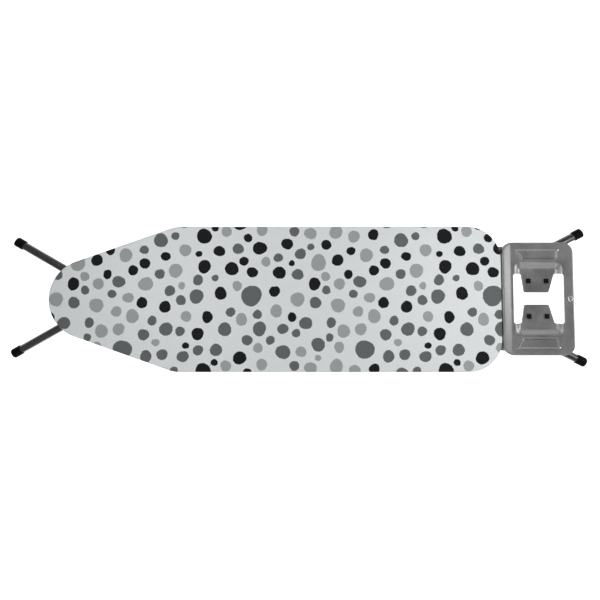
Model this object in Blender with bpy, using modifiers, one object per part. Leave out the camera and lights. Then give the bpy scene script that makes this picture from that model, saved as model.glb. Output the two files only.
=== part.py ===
"""Folding ironing board with a stamped steel iron rest, modelled folded flat.

The board lies on its four foot caps. X runs from the nose (-) to the iron rest (+),
Y across the board, Z up. The origin is on the floor, below the axle where the two legs
cross. Sizes are millimetres, and add_mesh and curve_object turn them into metres.

The inner leg hangs on a fixed pivot below the tail and has its feet at the nose. The
outer leg has its feet at the tail, and its top end slides in two slotted rails.
"""

import math

import bmesh
import bpy
from mathutils import Matrix, Vector

MM = 0.001
GAP = 0.3                       # left between pieces that touch on the real object

# Outline of the covered board, seen from above
NOSE_X = -665.0
TAIL_X = 538.0
HALF_WIDTH = 192.0
NOSE_RADIUS = 105.0
TAPER = math.radians(19.3)      # angle between the tapered side and the board's axis
SHOULDER_RADIUS = 90.0
TAIL_RADIUS = 88.0

# Layers of the top, from the cover down
COVER_TOP = 73.6
COVER_THICK = 0.7
PAD_TOP = COVER_TOP - COVER_THICK - GAP
PAD_THICK = 4.5
PAD_INSET = 3.5
PANEL_TOP = PAD_TOP - PAD_THICK - GAP
PANEL_THICK = 0.8
RIM_RADIUS = 7.5
RIM_WALL = 1.2
RIM_INSET = 10.0
RIM_Z = PANEL_TOP - PANEL_THICK - GAP - RIM_RADIUS
LIP_Z = 50.2                    # underside of the cover's turned-in lip
HEM_INSET = 31.0                # where the elastic runs inside the hem
ELASTIC_RADIUS = 1.5

# Cross channels under the panel
CHANNEL_TOP = PANEL_TOP - PANEL_THICK - GAP
CHANNEL_DEPTH = 8.7
CHANNEL_WIDTH = 24.0
CHANNEL_SHEET = 1.5
CHANNEL_BOTTOM = CHANNEL_TOP - CHANNEL_DEPTH
CHANNEL_X = (-485.0, -345.0, -130.0, 175.0, 480.0)

# Leg linkage: both arms are equally long, so the board stays level as it rises
FOLDED_ANGLE = math.radians(1.2)
ARM = 480.0                     # from the axle to the fixed pivot and to the slider
FOOT_REACH = 783.0              # from the axle to the middle of a foot cap's end face
TUBE_RADIUS = 11.0
TUBE_WALL = 1.0
FOOT_RADIUS = 13.0
FOOT_LENGTH = 26.0
FOOT_FLOOR = 6.0                # solid end of a foot cap
FOOT_ROUNDING = 4.0             # from a cap's end face to its widest ring, which it rests on
PIVOT_Z = FOOT_RADIUS + (ARM + FOOT_REACH - FOOT_ROUNDING) * math.sin(FOLDED_ANGLE)
AXLE_Z = PIVOT_Z - ARM * math.sin(FOLDED_ANGLE)
PIVOT_X = ARM * math.cos(FOLDED_ANGLE)
INNER_Y = 30.0
OUTER_Y = 57.0
INNER_FOOT_Y = 154.5
OUTER_FOOT_Y = 178.5
INNER_SPLAY = math.radians(29.5)
OUTER_SPLAY = math.radians(26.5)
BEND_RADIUS = 60.0
TUBE_PAST_BAR = 11.0            # length of tube beyond the bar at its top end
BAR_RADIUS = 6.0
PIN_RADIUS = 3.0                # the slider bar's end that the comb catches
BOLT_RADIUS = 4.0
BRACE_WIDTH = 30.0
BRACE_X = 520.0

# Slide rails and pivot brackets
RAIL_Y = 88.0
RAIL_SHEET = 2.0
RAIL_FLANGE = 15.0
RAIL_BOTTOM = 28.0
SLOT_HALF = 8.4
BRACKET_Y = 100.0
BRACKET_SHEET = 2.5

# Height adjuster: a comb that swings up around the slider bar's pin
HEIGHT_ANGLES = (34.0, 37.0, 40.0, 43.0)
LEVER_Y = 140.0
LEVER_RELEASED = math.radians(9.5)
COMB_SHEET = 2.5
ROD_RADIUS = 4.0
ROD_START = -340.0
ROD_END = -135.0
LUG_SHEET = 3.0
LUG_X = (-335.0, -140.0)

# Iron rest
TRAY_START = 540.0
TRAY_END = 734.0
TRAY_HALF = 150.0
TRAY_TOP = 66.0
TRAY_SHEET = 1.0
TRAY_CORNER = 24.0
TRAY_FLANGE = 12.0
TRAY_RIDGE = 5.0
FLAP_DROP = 6.0
LOBE_HALF = 66.0
SLOT_GAP = 16.0
ARM_Y = 129.0
ARM_WIDTH = 20.0
ARM_SHEET = 2.5
BUMPER_X = (614.0, 662.0)
BUMPER_Y = 47.0
RIVET_X = 693.0
SOCKET_X = 722.5


# ---------------------------------------------------------------- scene helpers

def clear_scene():
    """Remove every object, so that a second run starts from nothing."""
    for item in list(bpy.data.objects):
        bpy.data.objects.remove(item, do_unlink=True)


def new_collection(name):
    """Make a collection below the scene."""
    collection = bpy.data.collections.new(name)
    bpy.context.scene.collection.children.link(collection)
    return collection


def principled(name, colour, roughness, metallic):
    """Make a material from its main Principled values."""
    material = bpy.data.materials.new(name)
    material.use_nodes = True
    shader = material.node_tree.nodes["Principled BSDF"]
    shader.inputs["Base Color"].default_value = (*colour, 1.0)
    shader.inputs["Roughness"].default_value = roughness
    shader.inputs["Metallic"].default_value = metallic
    return material


def empty(name, location, parent=None, rotation=(0.0, 0.0, 0.0)):
    """Make an empty that carries a leg or a lever."""
    item = bpy.data.objects.new(name, None)
    item.empty_display_size = 0.05
    item.location = Vector(location) * MM
    item.rotation_euler = rotation
    item.parent = parent
    PARTS.objects.link(item)
    return item


def link(item, material, parent, collection=None):
    """Put a new object in its collection, below its parent."""
    (collection or PARTS).objects.link(item)
    item.parent = parent
    if material:
        item.data.materials.append(material)
    return item


def add_mesh(name, bm, material, parent=None, collection=None):
    """Turn a bmesh in millimetres into an object in metres."""
    bmesh.ops.scale(bm, vec=(MM, MM, MM), verts=bm.verts)
    mesh = bpy.data.meshes.new(name)
    bm.to_mesh(mesh)
    bm.free()
    return link(bpy.data.objects.new(name, mesh), material, parent, collection)


def shade_smooth(item, angle=math.radians(40.0)):
    """Shade a round piece smooth, with its sharp edges kept."""
    item.data.shade_smooth()
    item.data.set_sharp_from_angle(angle=angle)


def solidify(item, thickness, offset=0.0):
    """Give an open surface its sheet thickness."""
    modifier = item.modifiers.new("sheet", "SOLIDIFY")
    modifier.thickness = thickness * MM
    modifier.offset = offset
    modifier.use_even_offset = True
    return modifier


def cut(item, cutter):
    """Subtract a cutter from a piece."""
    modifier = item.modifiers.new("cut_" + cutter.name, "BOOLEAN")
    modifier.operation = "DIFFERENCE"
    modifier.object = cutter


def wire_cutter(cutter):
    """Show a cutter as wires only."""
    cutter.display_type = "WIRE"
    cutter.hide_render = True
    return cutter


def drill(name, radius, depth, location, rotation=(0.0, 0.0, 0.0), parent=None, sides=16):
    """Make a round cutter along its own Z axis, rotated into place."""
    bm = bmesh.new()
    bmesh.ops.create_cone(bm, cap_ends=True, segments=sides, radius1=radius, radius2=radius,
                          depth=depth)
    cutter = add_mesh(name, bm, None, parent, CUTTERS)
    cutter.location = Vector(location) * MM
    cutter.rotation_euler = rotation
    return wire_cutter(cutter)


ALONG_Y = (-math.pi / 2, 0.0, 0.0)      # turns a piece's own +Z into +Y
ALONG_X = (0.0, math.pi / 2, 0.0)       # turns a piece's own +Z into +X


# ---------------------------------------------------------------- shape helpers

def arc(centre, radius, start, end, steps):
    """Points on an arc, with its angles in degrees."""
    points = []
    for step in range(steps + 1):
        angle = math.radians(start + (end - start) * step / steps)
        points.append((centre[0] + radius * math.cos(angle),
                       centre[1] + radius * math.sin(angle)))
    return points


def taper_line(inset):
    """Distance of the tapered side from the origin, along its own normal."""
    return NOSE_RADIUS - math.sin(TAPER) * (NOSE_X + NOSE_RADIUS) - inset


def board_outline(inset):
    """Closed outline of the board, moved inwards by inset."""
    taper = math.degrees(TAPER)
    corner = (math.cos(TAPER) * HALF_WIDTH - taper_line(0.0)) / math.sin(TAPER)
    shoulder = (corner + SHOULDER_RADIUS * math.tan(TAPER / 2), HALF_WIDTH - SHOULDER_RADIUS)
    tail = (TAIL_X - TAIL_RADIUS, HALF_WIDTH - TAIL_RADIUS)
    half = arc((NOSE_X + NOSE_RADIUS, 0.0), NOSE_RADIUS - inset, 180, 90 + taper, 8)
    half += arc(shoulder, SHOULDER_RADIUS - inset, 90 + taper, 90, 2)
    half += arc(tail, TAIL_RADIUS - inset, 90, 0, 8)
    other = [(x, -y) for x, y in half[:0:-1]]
    return other + half


def half_width(x, inset):
    """Half the board's width at x, moved inwards by inset."""
    tapered = (taper_line(inset) + math.sin(TAPER) * x) / math.cos(TAPER)
    width = min(tapered, HALF_WIDTH - inset)
    past = x - (TAIL_X - TAIL_RADIUS)
    if past > 0:
        corner = math.sqrt((TAIL_RADIUS - inset) ** 2 - past ** 2)
        width = min(width, HALF_WIDTH - TAIL_RADIUS + corner)
    return width


def slider_x(angle):
    """Where the slider bar is when the legs stand at an angle to the board."""
    return PIVOT_X - 2 * ARM * math.cos(angle)


def ring_faces(bm, lower, upper):
    """Bridge two rings of vertices with quads that face outwards."""
    count = len(lower)
    for i in range(count):
        j = (i + 1) % count
        bm.faces.new((lower[j], lower[i], upper[i], upper[j]))


def layered(name, rings, material, closed):
    """Stack outlines of the board, each an inset and a height, from the top down.

    The last ring is closed by a face for a solid layer, and left open for a shell.
    """
    bm = bmesh.new()
    previous = None
    for inset, z in rings:
        ring = [bm.verts.new((x, y, z)) for x, y in board_outline(inset)]
        if previous:
            ring_faces(bm, ring, previous)
        else:
            bm.faces.new(ring)
        previous = ring
    if closed:
        bm.faces.new(previous[::-1])
    bmesh.ops.recalc_face_normals(bm, faces=bm.faces)
    return add_mesh(name, bm, material)


def folded_sheet(name, fold, start, end, thickness, material, along="X", parent=None):
    """Bend a strip of sheet: fold is its middle line, swept along X or along Y."""
    bm = bmesh.new()
    rows = []
    for place in (start, end):
        if along == "X":
            rows.append([bm.verts.new((place, a, b)) for a, b in fold])
        else:
            rows.append([bm.verts.new((a, place, b)) for a, b in fold])
    for i in range(len(fold) - 1):
        bm.faces.new((rows[0][i], rows[0][i + 1], rows[1][i + 1], rows[1][i]))
    item = add_mesh(name, bm, material, parent)
    solidify(item, thickness)
    return item


def turned(name, profile, material, parent, location, rotation, steps=16, ring=False):
    """Turn a profile of radius and height pairs, listed from the top down, about Z."""
    mesh = bpy.data.meshes.new(name)
    verts = [(radius * MM, 0.0, height * MM) for radius, height in profile]
    edges = [(i, i + 1) for i in range(len(profile) - 1)]
    if ring:
        edges.append((len(profile) - 1, 0))
    mesh.from_pydata(verts, edges, [])
    item = link(bpy.data.objects.new(name, mesh), material, parent)
    screw = item.modifiers.new("turn", "SCREW")
    screw.steps = steps
    screw.render_steps = steps
    screw.use_merge_vertices = True
    screw.merge_threshold = 0.00001
    item.location = Vector(location) * MM
    item.rotation_euler = rotation
    return item


def ring_profile(inner, outer, bottom, top):
    """Profile of a plain ring or bush."""
    return [(inner, top), (outer, top), (outer, bottom), (inner, bottom)]


def curve_object(name, points, radius, resolution, material, parent=None, closed=False,
                 caps=True):
    """Make a round wire or tube along straight pieces between the points."""
    curve = bpy.data.curves.new(name, "CURVE")
    curve.dimensions = "3D"
    spline = curve.splines.new("POLY")
    spline.points.add(len(points) - 1)
    for point, place in zip(spline.points, points):
        point.co = (*(Vector(place) * MM), 1.0)
    spline.use_cyclic_u = closed
    curve.bevel_depth = radius * MM
    curve.bevel_resolution = resolution
    curve.use_fill_caps = caps
    return link(bpy.data.objects.new(name, curve), material, parent)


def hollow_tube(name, points, radius, wall, resolution, material, parent=None):
    """Make a tube that is open at both ends, as a mesh that can be drilled."""
    guide = curve_object(name + "_guide", points, radius, resolution, None, parent, caps=False)
    bpy.context.view_layer.update()
    depsgraph = bpy.context.evaluated_depsgraph_get()
    mesh = bpy.data.meshes.new_from_object(guide.evaluated_get(depsgraph))
    mesh.name = name
    bpy.data.objects.remove(guide, do_unlink=True)
    item = link(bpy.data.objects.new(name, mesh), material, parent)
    solidify(item, wall, -1.0)
    return item


def flat_plate(name, outlines, thickness, material, parent, location, rotation):
    """Cut a plate from sheet: the first outline is its edge, the others are its holes."""
    curve = bpy.data.curves.new(name, "CURVE")
    curve.dimensions = "2D"
    curve.fill_mode = "BOTH"
    curve.extrude = thickness * MM / 2
    for outline in outlines:
        spline = curve.splines.new("POLY")
        spline.points.add(len(outline) - 1)
        spline.use_cyclic_u = True
        for point, place in zip(spline.points, outline):
            point.co = (place[0] * MM, place[1] * MM, 0.0, 1.0)
    item = link(bpy.data.objects.new(name, curve), material, parent)
    item.location = Vector(location) * MM
    item.rotation_euler = rotation
    return item


# ---------------------------------------------------------------- the top

def build_top():
    """Cover, pad, panel, rim and elastic."""
    cover_side = COVER_TOP - 3.0
    hem_top = LIP_Z + 5.0
    rings = [(3.2, COVER_TOP), (0.9, COVER_TOP - 0.9), (0.0, cover_side),
             (0.0, LIP_Z + 2.5), (1.5, LIP_Z + 0.5), (4.0, LIP_Z),
             (HEM_INSET + 2.0, LIP_Z), (HEM_INSET + 3.2, LIP_Z + 1.2),
             (HEM_INSET + 3.2, hem_top - 1.0), (HEM_INSET + 2.0, hem_top),
             (HEM_INSET - 3.0, hem_top)]
    cover = layered("cover", rings, MATERIALS["cotton"], closed=False)
    solidify(cover, COVER_THICK, -1.0)
    shade_smooth(cover)
    pad_bottom = PAD_TOP - PAD_THICK
    layered("pad", [(PAD_INSET, PAD_TOP), (PAD_INSET, pad_bottom)], MATERIALS["foam"], True)
    panel_bottom = PANEL_TOP - PANEL_THICK
    layered("mesh_panel", [(RIM_INSET - 1, PANEL_TOP), (RIM_INSET - 1, panel_bottom)],
            MATERIALS["mesh"], True)
    butt = TAIL_X - RIM_INSET
    path = [(butt, GAP)] + board_outline(RIM_INSET)[::-1] + [(butt, -GAP)]
    rim = hollow_tube("rim_tube", [(x, y, RIM_Z) for x, y in path], RIM_RADIUS, RIM_WALL, 3,
                      MATERIALS["frame"])
    shade_smooth(rim)
    elastic_z = LIP_Z + COVER_THICK + GAP + ELASTIC_RADIUS
    elastic = [(x, y, elastic_z) for x, y in board_outline(HEM_INSET)]
    curve_object("hem_elastic", elastic, ELASTIC_RADIUS, 1, MATERIALS["elastic"], closed=True)


def build_channels():
    """Five U-shaped channels that carry the panel and the fittings below it."""
    wall = CHANNEL_WIDTH / 2 - CHANNEL_SHEET / 2
    top = CHANNEL_TOP - CHANNEL_SHEET / 2
    bottom = CHANNEL_BOTTOM + CHANNEL_SHEET / 2
    for number, x in enumerate(CHANNEL_X, start=1):
        inset = RIM_INSET + RIM_RADIUS + GAP
        edge = CHANNEL_WIDTH / 2
        reach = min(half_width(x - edge, inset), half_width(x + edge, inset)) - GAP
        fold = [(x - wall, top), (x - wall, bottom), (x + wall, bottom), (x + wall, top)]
        folded_sheet(f"cross_channel_{number}", fold, -reach, reach, CHANNEL_SHEET,
                     MATERIALS["frame"], along="Y")


def build_slides():
    """Slotted rails for the slider bar and brackets for the fixed pivot."""
    flange_z = CHANNEL_BOTTOM - GAP - RAIL_SHEET / 2
    rail_start = CHANNEL_X[0] - 14.0
    rail_end = CHANNEL_X[2] + 12.0
    slot_start = slider_x(FOLDED_ANGLE) - 0.4
    slot_end = slider_x(math.radians(HEIGHT_ANGLES[-1])) + 4.0
    for side, name in ((1, "left"), (-1, "right")):
        fold = [(side * RAIL_Y, RAIL_BOTTOM), (side * RAIL_Y, flange_z),
                (side * (RAIL_Y - RAIL_FLANGE), flange_z)]
        rail = folded_sheet("slide_rail_" + name, fold, rail_start, rail_end, RAIL_SHEET,
                            MATERIALS["frame"])
        cut(rail, slot_cutter("slot_" + name, slot_start, slot_end, side * RAIL_Y))
        fold = [(side * BRACKET_Y, RAIL_BOTTOM), (side * BRACKET_Y, flange_z),
                (side * (BRACKET_Y - RAIL_FLANGE), flange_z)]
        bracket = folded_sheet("pivot_bracket_" + name, fold, PIVOT_X - 20, PIVOT_X + 20,
                               BRACKET_SHEET, MATERIALS["frame"])
        cut(bracket, drill("pivot_hole_" + name, BAR_RADIUS + GAP, 20.0,
                           (PIVOT_X, side * BRACKET_Y, PIVOT_Z), ALONG_Y))


def slot_cutter(name, start, end, y):
    """Cutter for the long slot that the slider's bush runs in."""
    right = arc((end, 0.0), SLOT_HALF, -90, 90, 8)
    left = arc((start, 0.0), SLOT_HALF, 90, 270, 8)
    bm = bmesh.new()
    face = bm.faces.new([bm.verts.new((x, -10.0, z)) for x, z in right + left])
    sweep = bmesh.ops.extrude_face_region(bm, geom=[face])
    moved = [item for item in sweep["geom"] if isinstance(item, bmesh.types.BMVert)]
    bmesh.ops.translate(bm, verts=moved, vec=(0.0, 20.0, 0.0))
    bmesh.ops.recalc_face_normals(bm, faces=bm.faces)
    cutter = add_mesh(name, bm, None, None, CUTTERS)
    cutter.location = (0.0, y * MM, PIVOT_Z * MM)
    return wire_cutter(cutter)


# ---------------------------------------------------------------- iron rest

def square_to_round(x, y):
    """Bend the corners of the tray's grid into quarter circles."""
    mid = (TRAY_START + TRAY_END) / 2
    reach = (TRAY_END - TRAY_START) / 2 - TRAY_CORNER
    over_x = abs(x - mid) - reach
    over_y = abs(y) - (TRAY_HALF - TRAY_CORNER)
    if over_x <= 0 or over_y <= 0:
        return x, y
    scale = max(over_x, over_y) / math.hypot(over_x, over_y)
    new_x = mid + math.copysign(reach + over_x * scale, x - mid)
    new_y = math.copysign(TRAY_HALF - TRAY_CORNER + over_y * scale, y)
    return new_x, new_y


def flap_edges(y):
    """Both ends of a flap at y: it narrows from its root to its tip."""
    part = (LOBE_HALF - min(max(abs(y), SLOT_GAP), LOBE_HALF)) / (LOBE_HALF - SLOT_GAP)
    return TRAY_START + 54.5 + 7.5 * part, TRAY_START + 143.5 - 15.3 * part


def tray_height(column, y):
    """Height of the pressed sheet: a ridge beside the board, and the lowered flaps."""
    if column in (1, 2):
        return TRAY_TOP + TRAY_RIDGE
    if column in (5, 6, 7, 8) and abs(y) < 80:
        return TRAY_TOP - FLAP_DROP
    return TRAY_TOP


def build_tray():
    """Stamped tray with an H-shaped opening between its two flaps."""
    half_rows = (0.0, SLOT_GAP, LOBE_HALF, 75.0, 102.0, TRAY_HALF - TRAY_CORNER, 133.0, 140.0,
                 TRAY_HALF)
    rows = [-y for y in half_rows[:0:-1]] + list(half_rows)
    lobe_start = TRAY_START + 32.5
    lobe_end = TRAY_START + 167
    bm = bmesh.new()
    grid = []
    for y in rows:
        left, right = flap_edges(y)
        third = (right - left) / 3
        columns = (TRAY_START, TRAY_START + 5, TRAY_START + 9, TRAY_START + 27, lobe_start,
                   left, left + third, right - third, right, lobe_end,
                   TRAY_END - TRAY_CORNER, TRAY_END - 14, TRAY_END - 7, TRAY_END)
        line = []
        for column, x in enumerate(columns):
            place = square_to_round(x, y)
            line.append(bm.verts.new((*place, tray_height(column, y))))
        grid.append(line)
    for row in range(len(rows) - 1):
        middle = abs(rows[row] + rows[row + 1]) / 2
        for column in range(len(grid[0]) - 1):
            in_lobe = column in (4, 8) and middle < LOBE_HALF
            in_slot = column in (5, 6, 7) and middle < SLOT_GAP
            if not in_lobe and not in_slot:
                bm.faces.new((grid[row][column], grid[row][column + 1],
                              grid[row + 1][column + 1], grid[row + 1][column]))
    outer = set(grid[0] + grid[-1] + [line[0] for line in grid] + [line[-1] for line in grid])
    border = [edge for edge in bm.edges if edge.is_boundary and set(edge.verts) <= outer]
    skirt = bmesh.ops.extrude_edge_only(bm, edges=border)
    for item in skirt["geom"]:
        if isinstance(item, bmesh.types.BMVert):
            item.co.z = TRAY_TOP - TRAY_FLANGE
    bmesh.ops.recalc_face_normals(bm, faces=bm.faces)
    tray = add_mesh("iron_tray", bm, MATERIALS["tray"])
    solidify(tray, TRAY_SHEET, -1.0)
    return tray


def build_iron_rest():
    """The tray with its arms, rivets, bumpers and cable socket."""
    tray = build_tray()
    under = CHANNEL_BOTTOM - GAP - ARM_SHEET / 2
    low = LIP_Z - 0.8 - ARM_SHEET / 2
    high = TRAY_TOP - TRAY_SHEET - GAP - ARM_SHEET / 2
    fold = [(CHANNEL_X[4] - 14, under), (CHANNEL_X[4] - 4, under), (CHANNEL_X[4] + 4, low),
            (TRAY_START + 3, low), (TRAY_START + 27, high), (TRAY_END - 19, high)]
    for side, name in ((1, "left"), (-1, "right")):
        middle = side * ARM_Y
        arm = folded_sheet("tray_arm_" + name, fold, middle - ARM_WIDTH / 2,
                           middle + ARM_WIDTH / 2, ARM_SHEET, MATERIALS["frame"], along="Y")
        hole = drill("rivet_hole_" + name, 2.5, 20.0, (RIVET_X, middle, TRAY_TOP), sides=12)
        cut(arm, hole)
        cut(tray, hole)
        build_rivet("tray_rivet_" + name, (RIVET_X, middle, 0.0))
    number = 0
    for x in BUMPER_X:
        for side in (1, -1):
            number += 1
            cut(tray, drill(f"bumper_hole_{number}", 3.3, 20.0,
                            (x, side * BUMPER_Y, TRAY_TOP - FLAP_DROP), sides=12))
            build_bumper(f"iron_bumper_{number}", (x, side * BUMPER_Y, 0.0))
    cut(tray, drill("socket_hole", 5.3, 20.0, (SOCKET_X, 0.0, TRAY_TOP), sides=16))
    top = TRAY_TOP + GAP
    profile = [(3.5, top + 1.6), (6.0, top + 1.6), (7.4, top + 0.8), (7.4, top), (5.0, top),
               (5.0, top - 8.0), (3.5, top - 8.0)]
    turned("cable_socket", profile, MATERIALS["bright"], None, (SOCKET_X, 0.0, 0.0),
           (0.0, 0.0, 0.0), 20, ring=True)


def build_rivet(name, location):
    """Rivet through the tray and an arm, with a domed head on top."""
    top = TRAY_TOP + GAP
    bottom = TRAY_TOP - TRAY_SHEET - GAP - ARM_SHEET - GAP
    profile = [(0.0, top + 1.8), (1.8, top + 1.4), (3.3, top), (2.2, top), (2.2, bottom),
               (3.6, bottom), (3.6, bottom - 1.2), (0.0, bottom - 1.2)]
    turned(name, profile, MATERIALS["bright"], None, location, (0.0, 0.0, 0.0), 12)


def build_bumper(name, location):
    """Rubber bumper that is pressed through a flap, with a barb below it."""
    top = TRAY_TOP - FLAP_DROP + GAP
    bottom = TRAY_TOP - FLAP_DROP - TRAY_SHEET - GAP
    profile = [(0.0, top + 5.0), (4.2, top + 5.0), (6.0, top + 3.0), (6.0, top), (3.0, top),
               (3.0, bottom), (4.2, bottom), (2.4, bottom - 4.0), (0.0, bottom - 4.0)]
    turned(name, profile, MATERIALS["rubber"], None, location, (0.0, 0.0, 0.0), 14)


# ---------------------------------------------------------------- legs

def leg_path(side, tube_y, foot_y, splay, foot_sign):
    """Middle line of one leg tube, from its top end to just inside its foot cap.

    The leg lies in its own XY plane with the axle at the origin. foot_sign is the
    side of the axle where the feet are.
    """
    foot = Vector((FOOT_REACH, foot_y))
    along = Vector((math.cos(splay), math.sin(splay)))
    corner_x = foot.x - (foot_y - tube_y) / math.tan(splay)
    reach = BEND_RADIUS * math.tan(splay / 2)
    start = corner_x - reach
    points = [(-ARM - TUBE_PAST_BAR, tube_y)]
    for step in range(5):
        angle = splay * step / 4
        points.append((start + BEND_RADIUS * math.sin(angle),
                       tube_y + BEND_RADIUS * (1 - math.cos(angle))))
    end = foot - along * (FOOT_FLOOR + GAP)
    points.append((end.x, end.y))
    return [(foot_sign * x, side * y, 0.0) for x, y in points]


def build_foot(name, side, foot_y, splay, foot_sign, parent):
    """Foot cap: a cup with a rounded end that is pushed over the tube."""
    inner = TUBE_RADIUS + GAP
    rim = FOOT_LENGTH
    profile = [(inner, rim), (FOOT_RADIUS - 0.6, rim), (FOOT_RADIUS, rim - 1.0),
               (FOOT_RADIUS, FOOT_ROUNDING), (FOOT_RADIUS - 1.3, 1.2), (FOOT_RADIUS - 4.0, 0.0),
               (0.0, 0.0), (0.0, FOOT_FLOOR), (inner, FOOT_FLOOR)]
    turn = math.atan2(-side * math.sin(splay), -foot_sign * math.cos(splay))
    turned(name, profile, MATERIALS["black_plastic"], parent,
           (foot_sign * FOOT_REACH, side * foot_y, 0.0), (0.0, math.pi / 2, turn), 16,
           ring=True)


def build_plug(name, side, tube_y, foot_sign, parent):
    """Plug that closes the top end of a leg tube."""
    end = ARM + TUBE_PAST_BAR + GAP
    profile = [(0.0, 1.5), (TUBE_RADIUS - 1.5, 1.5), (TUBE_RADIUS, 0.6), (TUBE_RADIUS, 0.0),
               (TUBE_RADIUS - TUBE_WALL - GAP, 0.0), (TUBE_RADIUS - TUBE_WALL - GAP, -4.0),
               (0.0, -4.0)]
    turned(name, profile, MATERIALS["black_plastic"], parent,
           (-foot_sign * end, side * tube_y, 0.0), (0.0, -foot_sign * math.pi / 2, 0.0), 12)


def build_leg(kind, tube_y, foot_y, splay, foot_sign, parent):
    """Two tubes with their foot caps and plugs, and the strap that joins them."""
    for side, name in ((1, "left"), (-1, "right")):
        tube = hollow_tube(f"{kind}_tube_{name}",
                           leg_path(side, tube_y, foot_y, splay, foot_sign),
                           TUBE_RADIUS, TUBE_WALL, 4, MATERIALS["leg"], parent)
        shade_smooth(tube)
        bar = (-foot_sign * ARM, side * tube_y, 0.0)
        cut(tube, drill(f"{kind}_bar_hole_{name}", BAR_RADIUS + GAP, 40.0, bar, ALONG_Y, parent))
        cut(tube, drill(f"{kind}_bolt_hole_{name}", BOLT_RADIUS + GAP, 40.0,
                        (0.0, side * tube_y, 0.0), ALONG_Y, parent, 12))
        build_foot(f"{kind}_foot_{name}", side, foot_y, splay, foot_sign, parent)
        build_plug(f"{kind}_plug_{name}", side, tube_y, foot_sign, parent)
    strap_z = TUBE_RADIUS + GAP + 1.25
    reach = tube_y + TUBE_RADIUS
    middle = foot_sign * BRACE_X
    fold = [(middle - BRACE_WIDTH / 2, strap_z), (middle + BRACE_WIDTH / 2, strap_z)]
    folded_sheet(f"{kind}_brace", fold, -reach, reach, 2.5, MATERIALS["leg"], "Y", parent)


def build_inner_leg(frame):
    """Inner leg with its pivot bar and the axle's bolt, sleeve, washers and nut."""
    build_leg("inner", INNER_Y, INNER_FOOT_Y, INNER_SPLAY, -1, frame)
    zinc = MATERIALS["zinc"]
    past = BRACKET_Y + BRACKET_SHEET / 2
    bar = [(0.0, past + 5.0), (BAR_RADIUS - 0.6, past + 5.0), (BAR_RADIUS, past + 4.4),
           (BAR_RADIUS, -past - 4.4), (BAR_RADIUS - 0.6, -past - 5.0), (0.0, -past - 5.0)]
    turned("pivot_bar", bar, zinc, frame, (ARM, 0.0, 0.0), ALONG_Y)
    cap = [(BAR_RADIUS + GAP, 3.6), (BAR_RADIUS + 2.0, 3.6), (BAR_RADIUS + 4.0, 1.6),
           (BAR_RADIUS + 4.0, 0.0), (BAR_RADIUS + GAP, 0.0)]
    for side, name in ((1, "left"), (-1, "right")):
        rotation = ALONG_Y if side > 0 else (math.pi / 2, 0.0, 0.0)
        turned("pivot_cap_" + name, cap, zinc, frame, (ARM, side * (past + GAP), 0.0),
               rotation, 16, ring=True)
        start = INNER_Y + TUBE_RADIUS + GAP
        end = OUTER_Y - TUBE_RADIUS - GAP
        washer = ring_profile(BOLT_RADIUS + GAP, 10.0, 0.0, end - start)
        turned("axle_washer_" + name, washer, MATERIALS["nylon"], frame,
               (0.0, side * start, 0.0), rotation, 16, ring=True)
    half = INNER_Y - TUBE_RADIUS - 0.6
    turned("axle_sleeve", ring_profile(BOLT_RADIUS + GAP, 7.0, -half, half), zinc, frame,
           (0.0, 0.0, 0.0), ALONG_Y, 16, ring=True)
    head = OUTER_Y + TUBE_RADIUS + GAP
    bolt = [(0.0, head + 8.0), (BOLT_RADIUS, head + 8.0), (BOLT_RADIUS, -head),
            (8.0, -head), (8.0, -head - 2.5), (5.0, -head - 4.5), (0.0, -head - 4.5)]
    turned("axle_bolt", bolt, zinc, frame, (0.0, 0.0, 0.0), ALONG_Y, 16)
    nut_height = 6.5
    hexagon = arc((0.0, 0.0), 7.5, 0, 300, 5)
    bore = arc((0.0, 0.0), BOLT_RADIUS + GAP, 0, 330, 11)
    flat_plate("axle_nut", [hexagon, bore], nut_height, zinc, frame,
               (0.0, head + nut_height / 2, 0.0), ALONG_Y)


def build_outer_leg(frame):
    """Outer leg with the slider bar, its two bushes and the rings that keep them."""
    build_leg("outer", OUTER_Y, OUTER_FOOT_Y, OUTER_SPLAY, 1, frame)
    bar_end = RAIL_Y + 10.0
    bar = [(0.0, bar_end + 12.0), (PIN_RADIUS, bar_end + 12.0), (PIN_RADIUS, bar_end),
           (BAR_RADIUS, bar_end), (BAR_RADIUS, -bar_end), (0.0, -bar_end)]
    turned("slider_bar", bar, MATERIALS["zinc"], frame, (-ARM, 0.0, 0.0), ALONG_Y)
    inner = BAR_RADIUS + GAP
    neck = SLOT_HALF - 0.4
    flange = 11.0
    bush = [(inner, 4.0), (flange, 4.0), (flange, 1.3), (neck, 1.3), (neck, -1.3),
            (flange, -1.3), (flange, -4.0), (inner, -4.0)]
    ring = ring_profile(inner, 9.5, 4.3, 7.5)
    for side, name in ((1, "left"), (-1, "right")):
        rotation = ALONG_Y if side > 0 else (math.pi / 2, 0.0, 0.0)
        place = (-ARM, side * RAIL_Y, 0.0)
        turned("slider_bush_" + name, bush, MATERIALS["nylon"], frame, place, rotation, 16,
               ring=True)
        turned("slider_cap_" + name, ring, MATERIALS["zinc"], frame, place, rotation, 14,
               ring=True)


# ---------------------------------------------------------------- height adjuster

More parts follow.
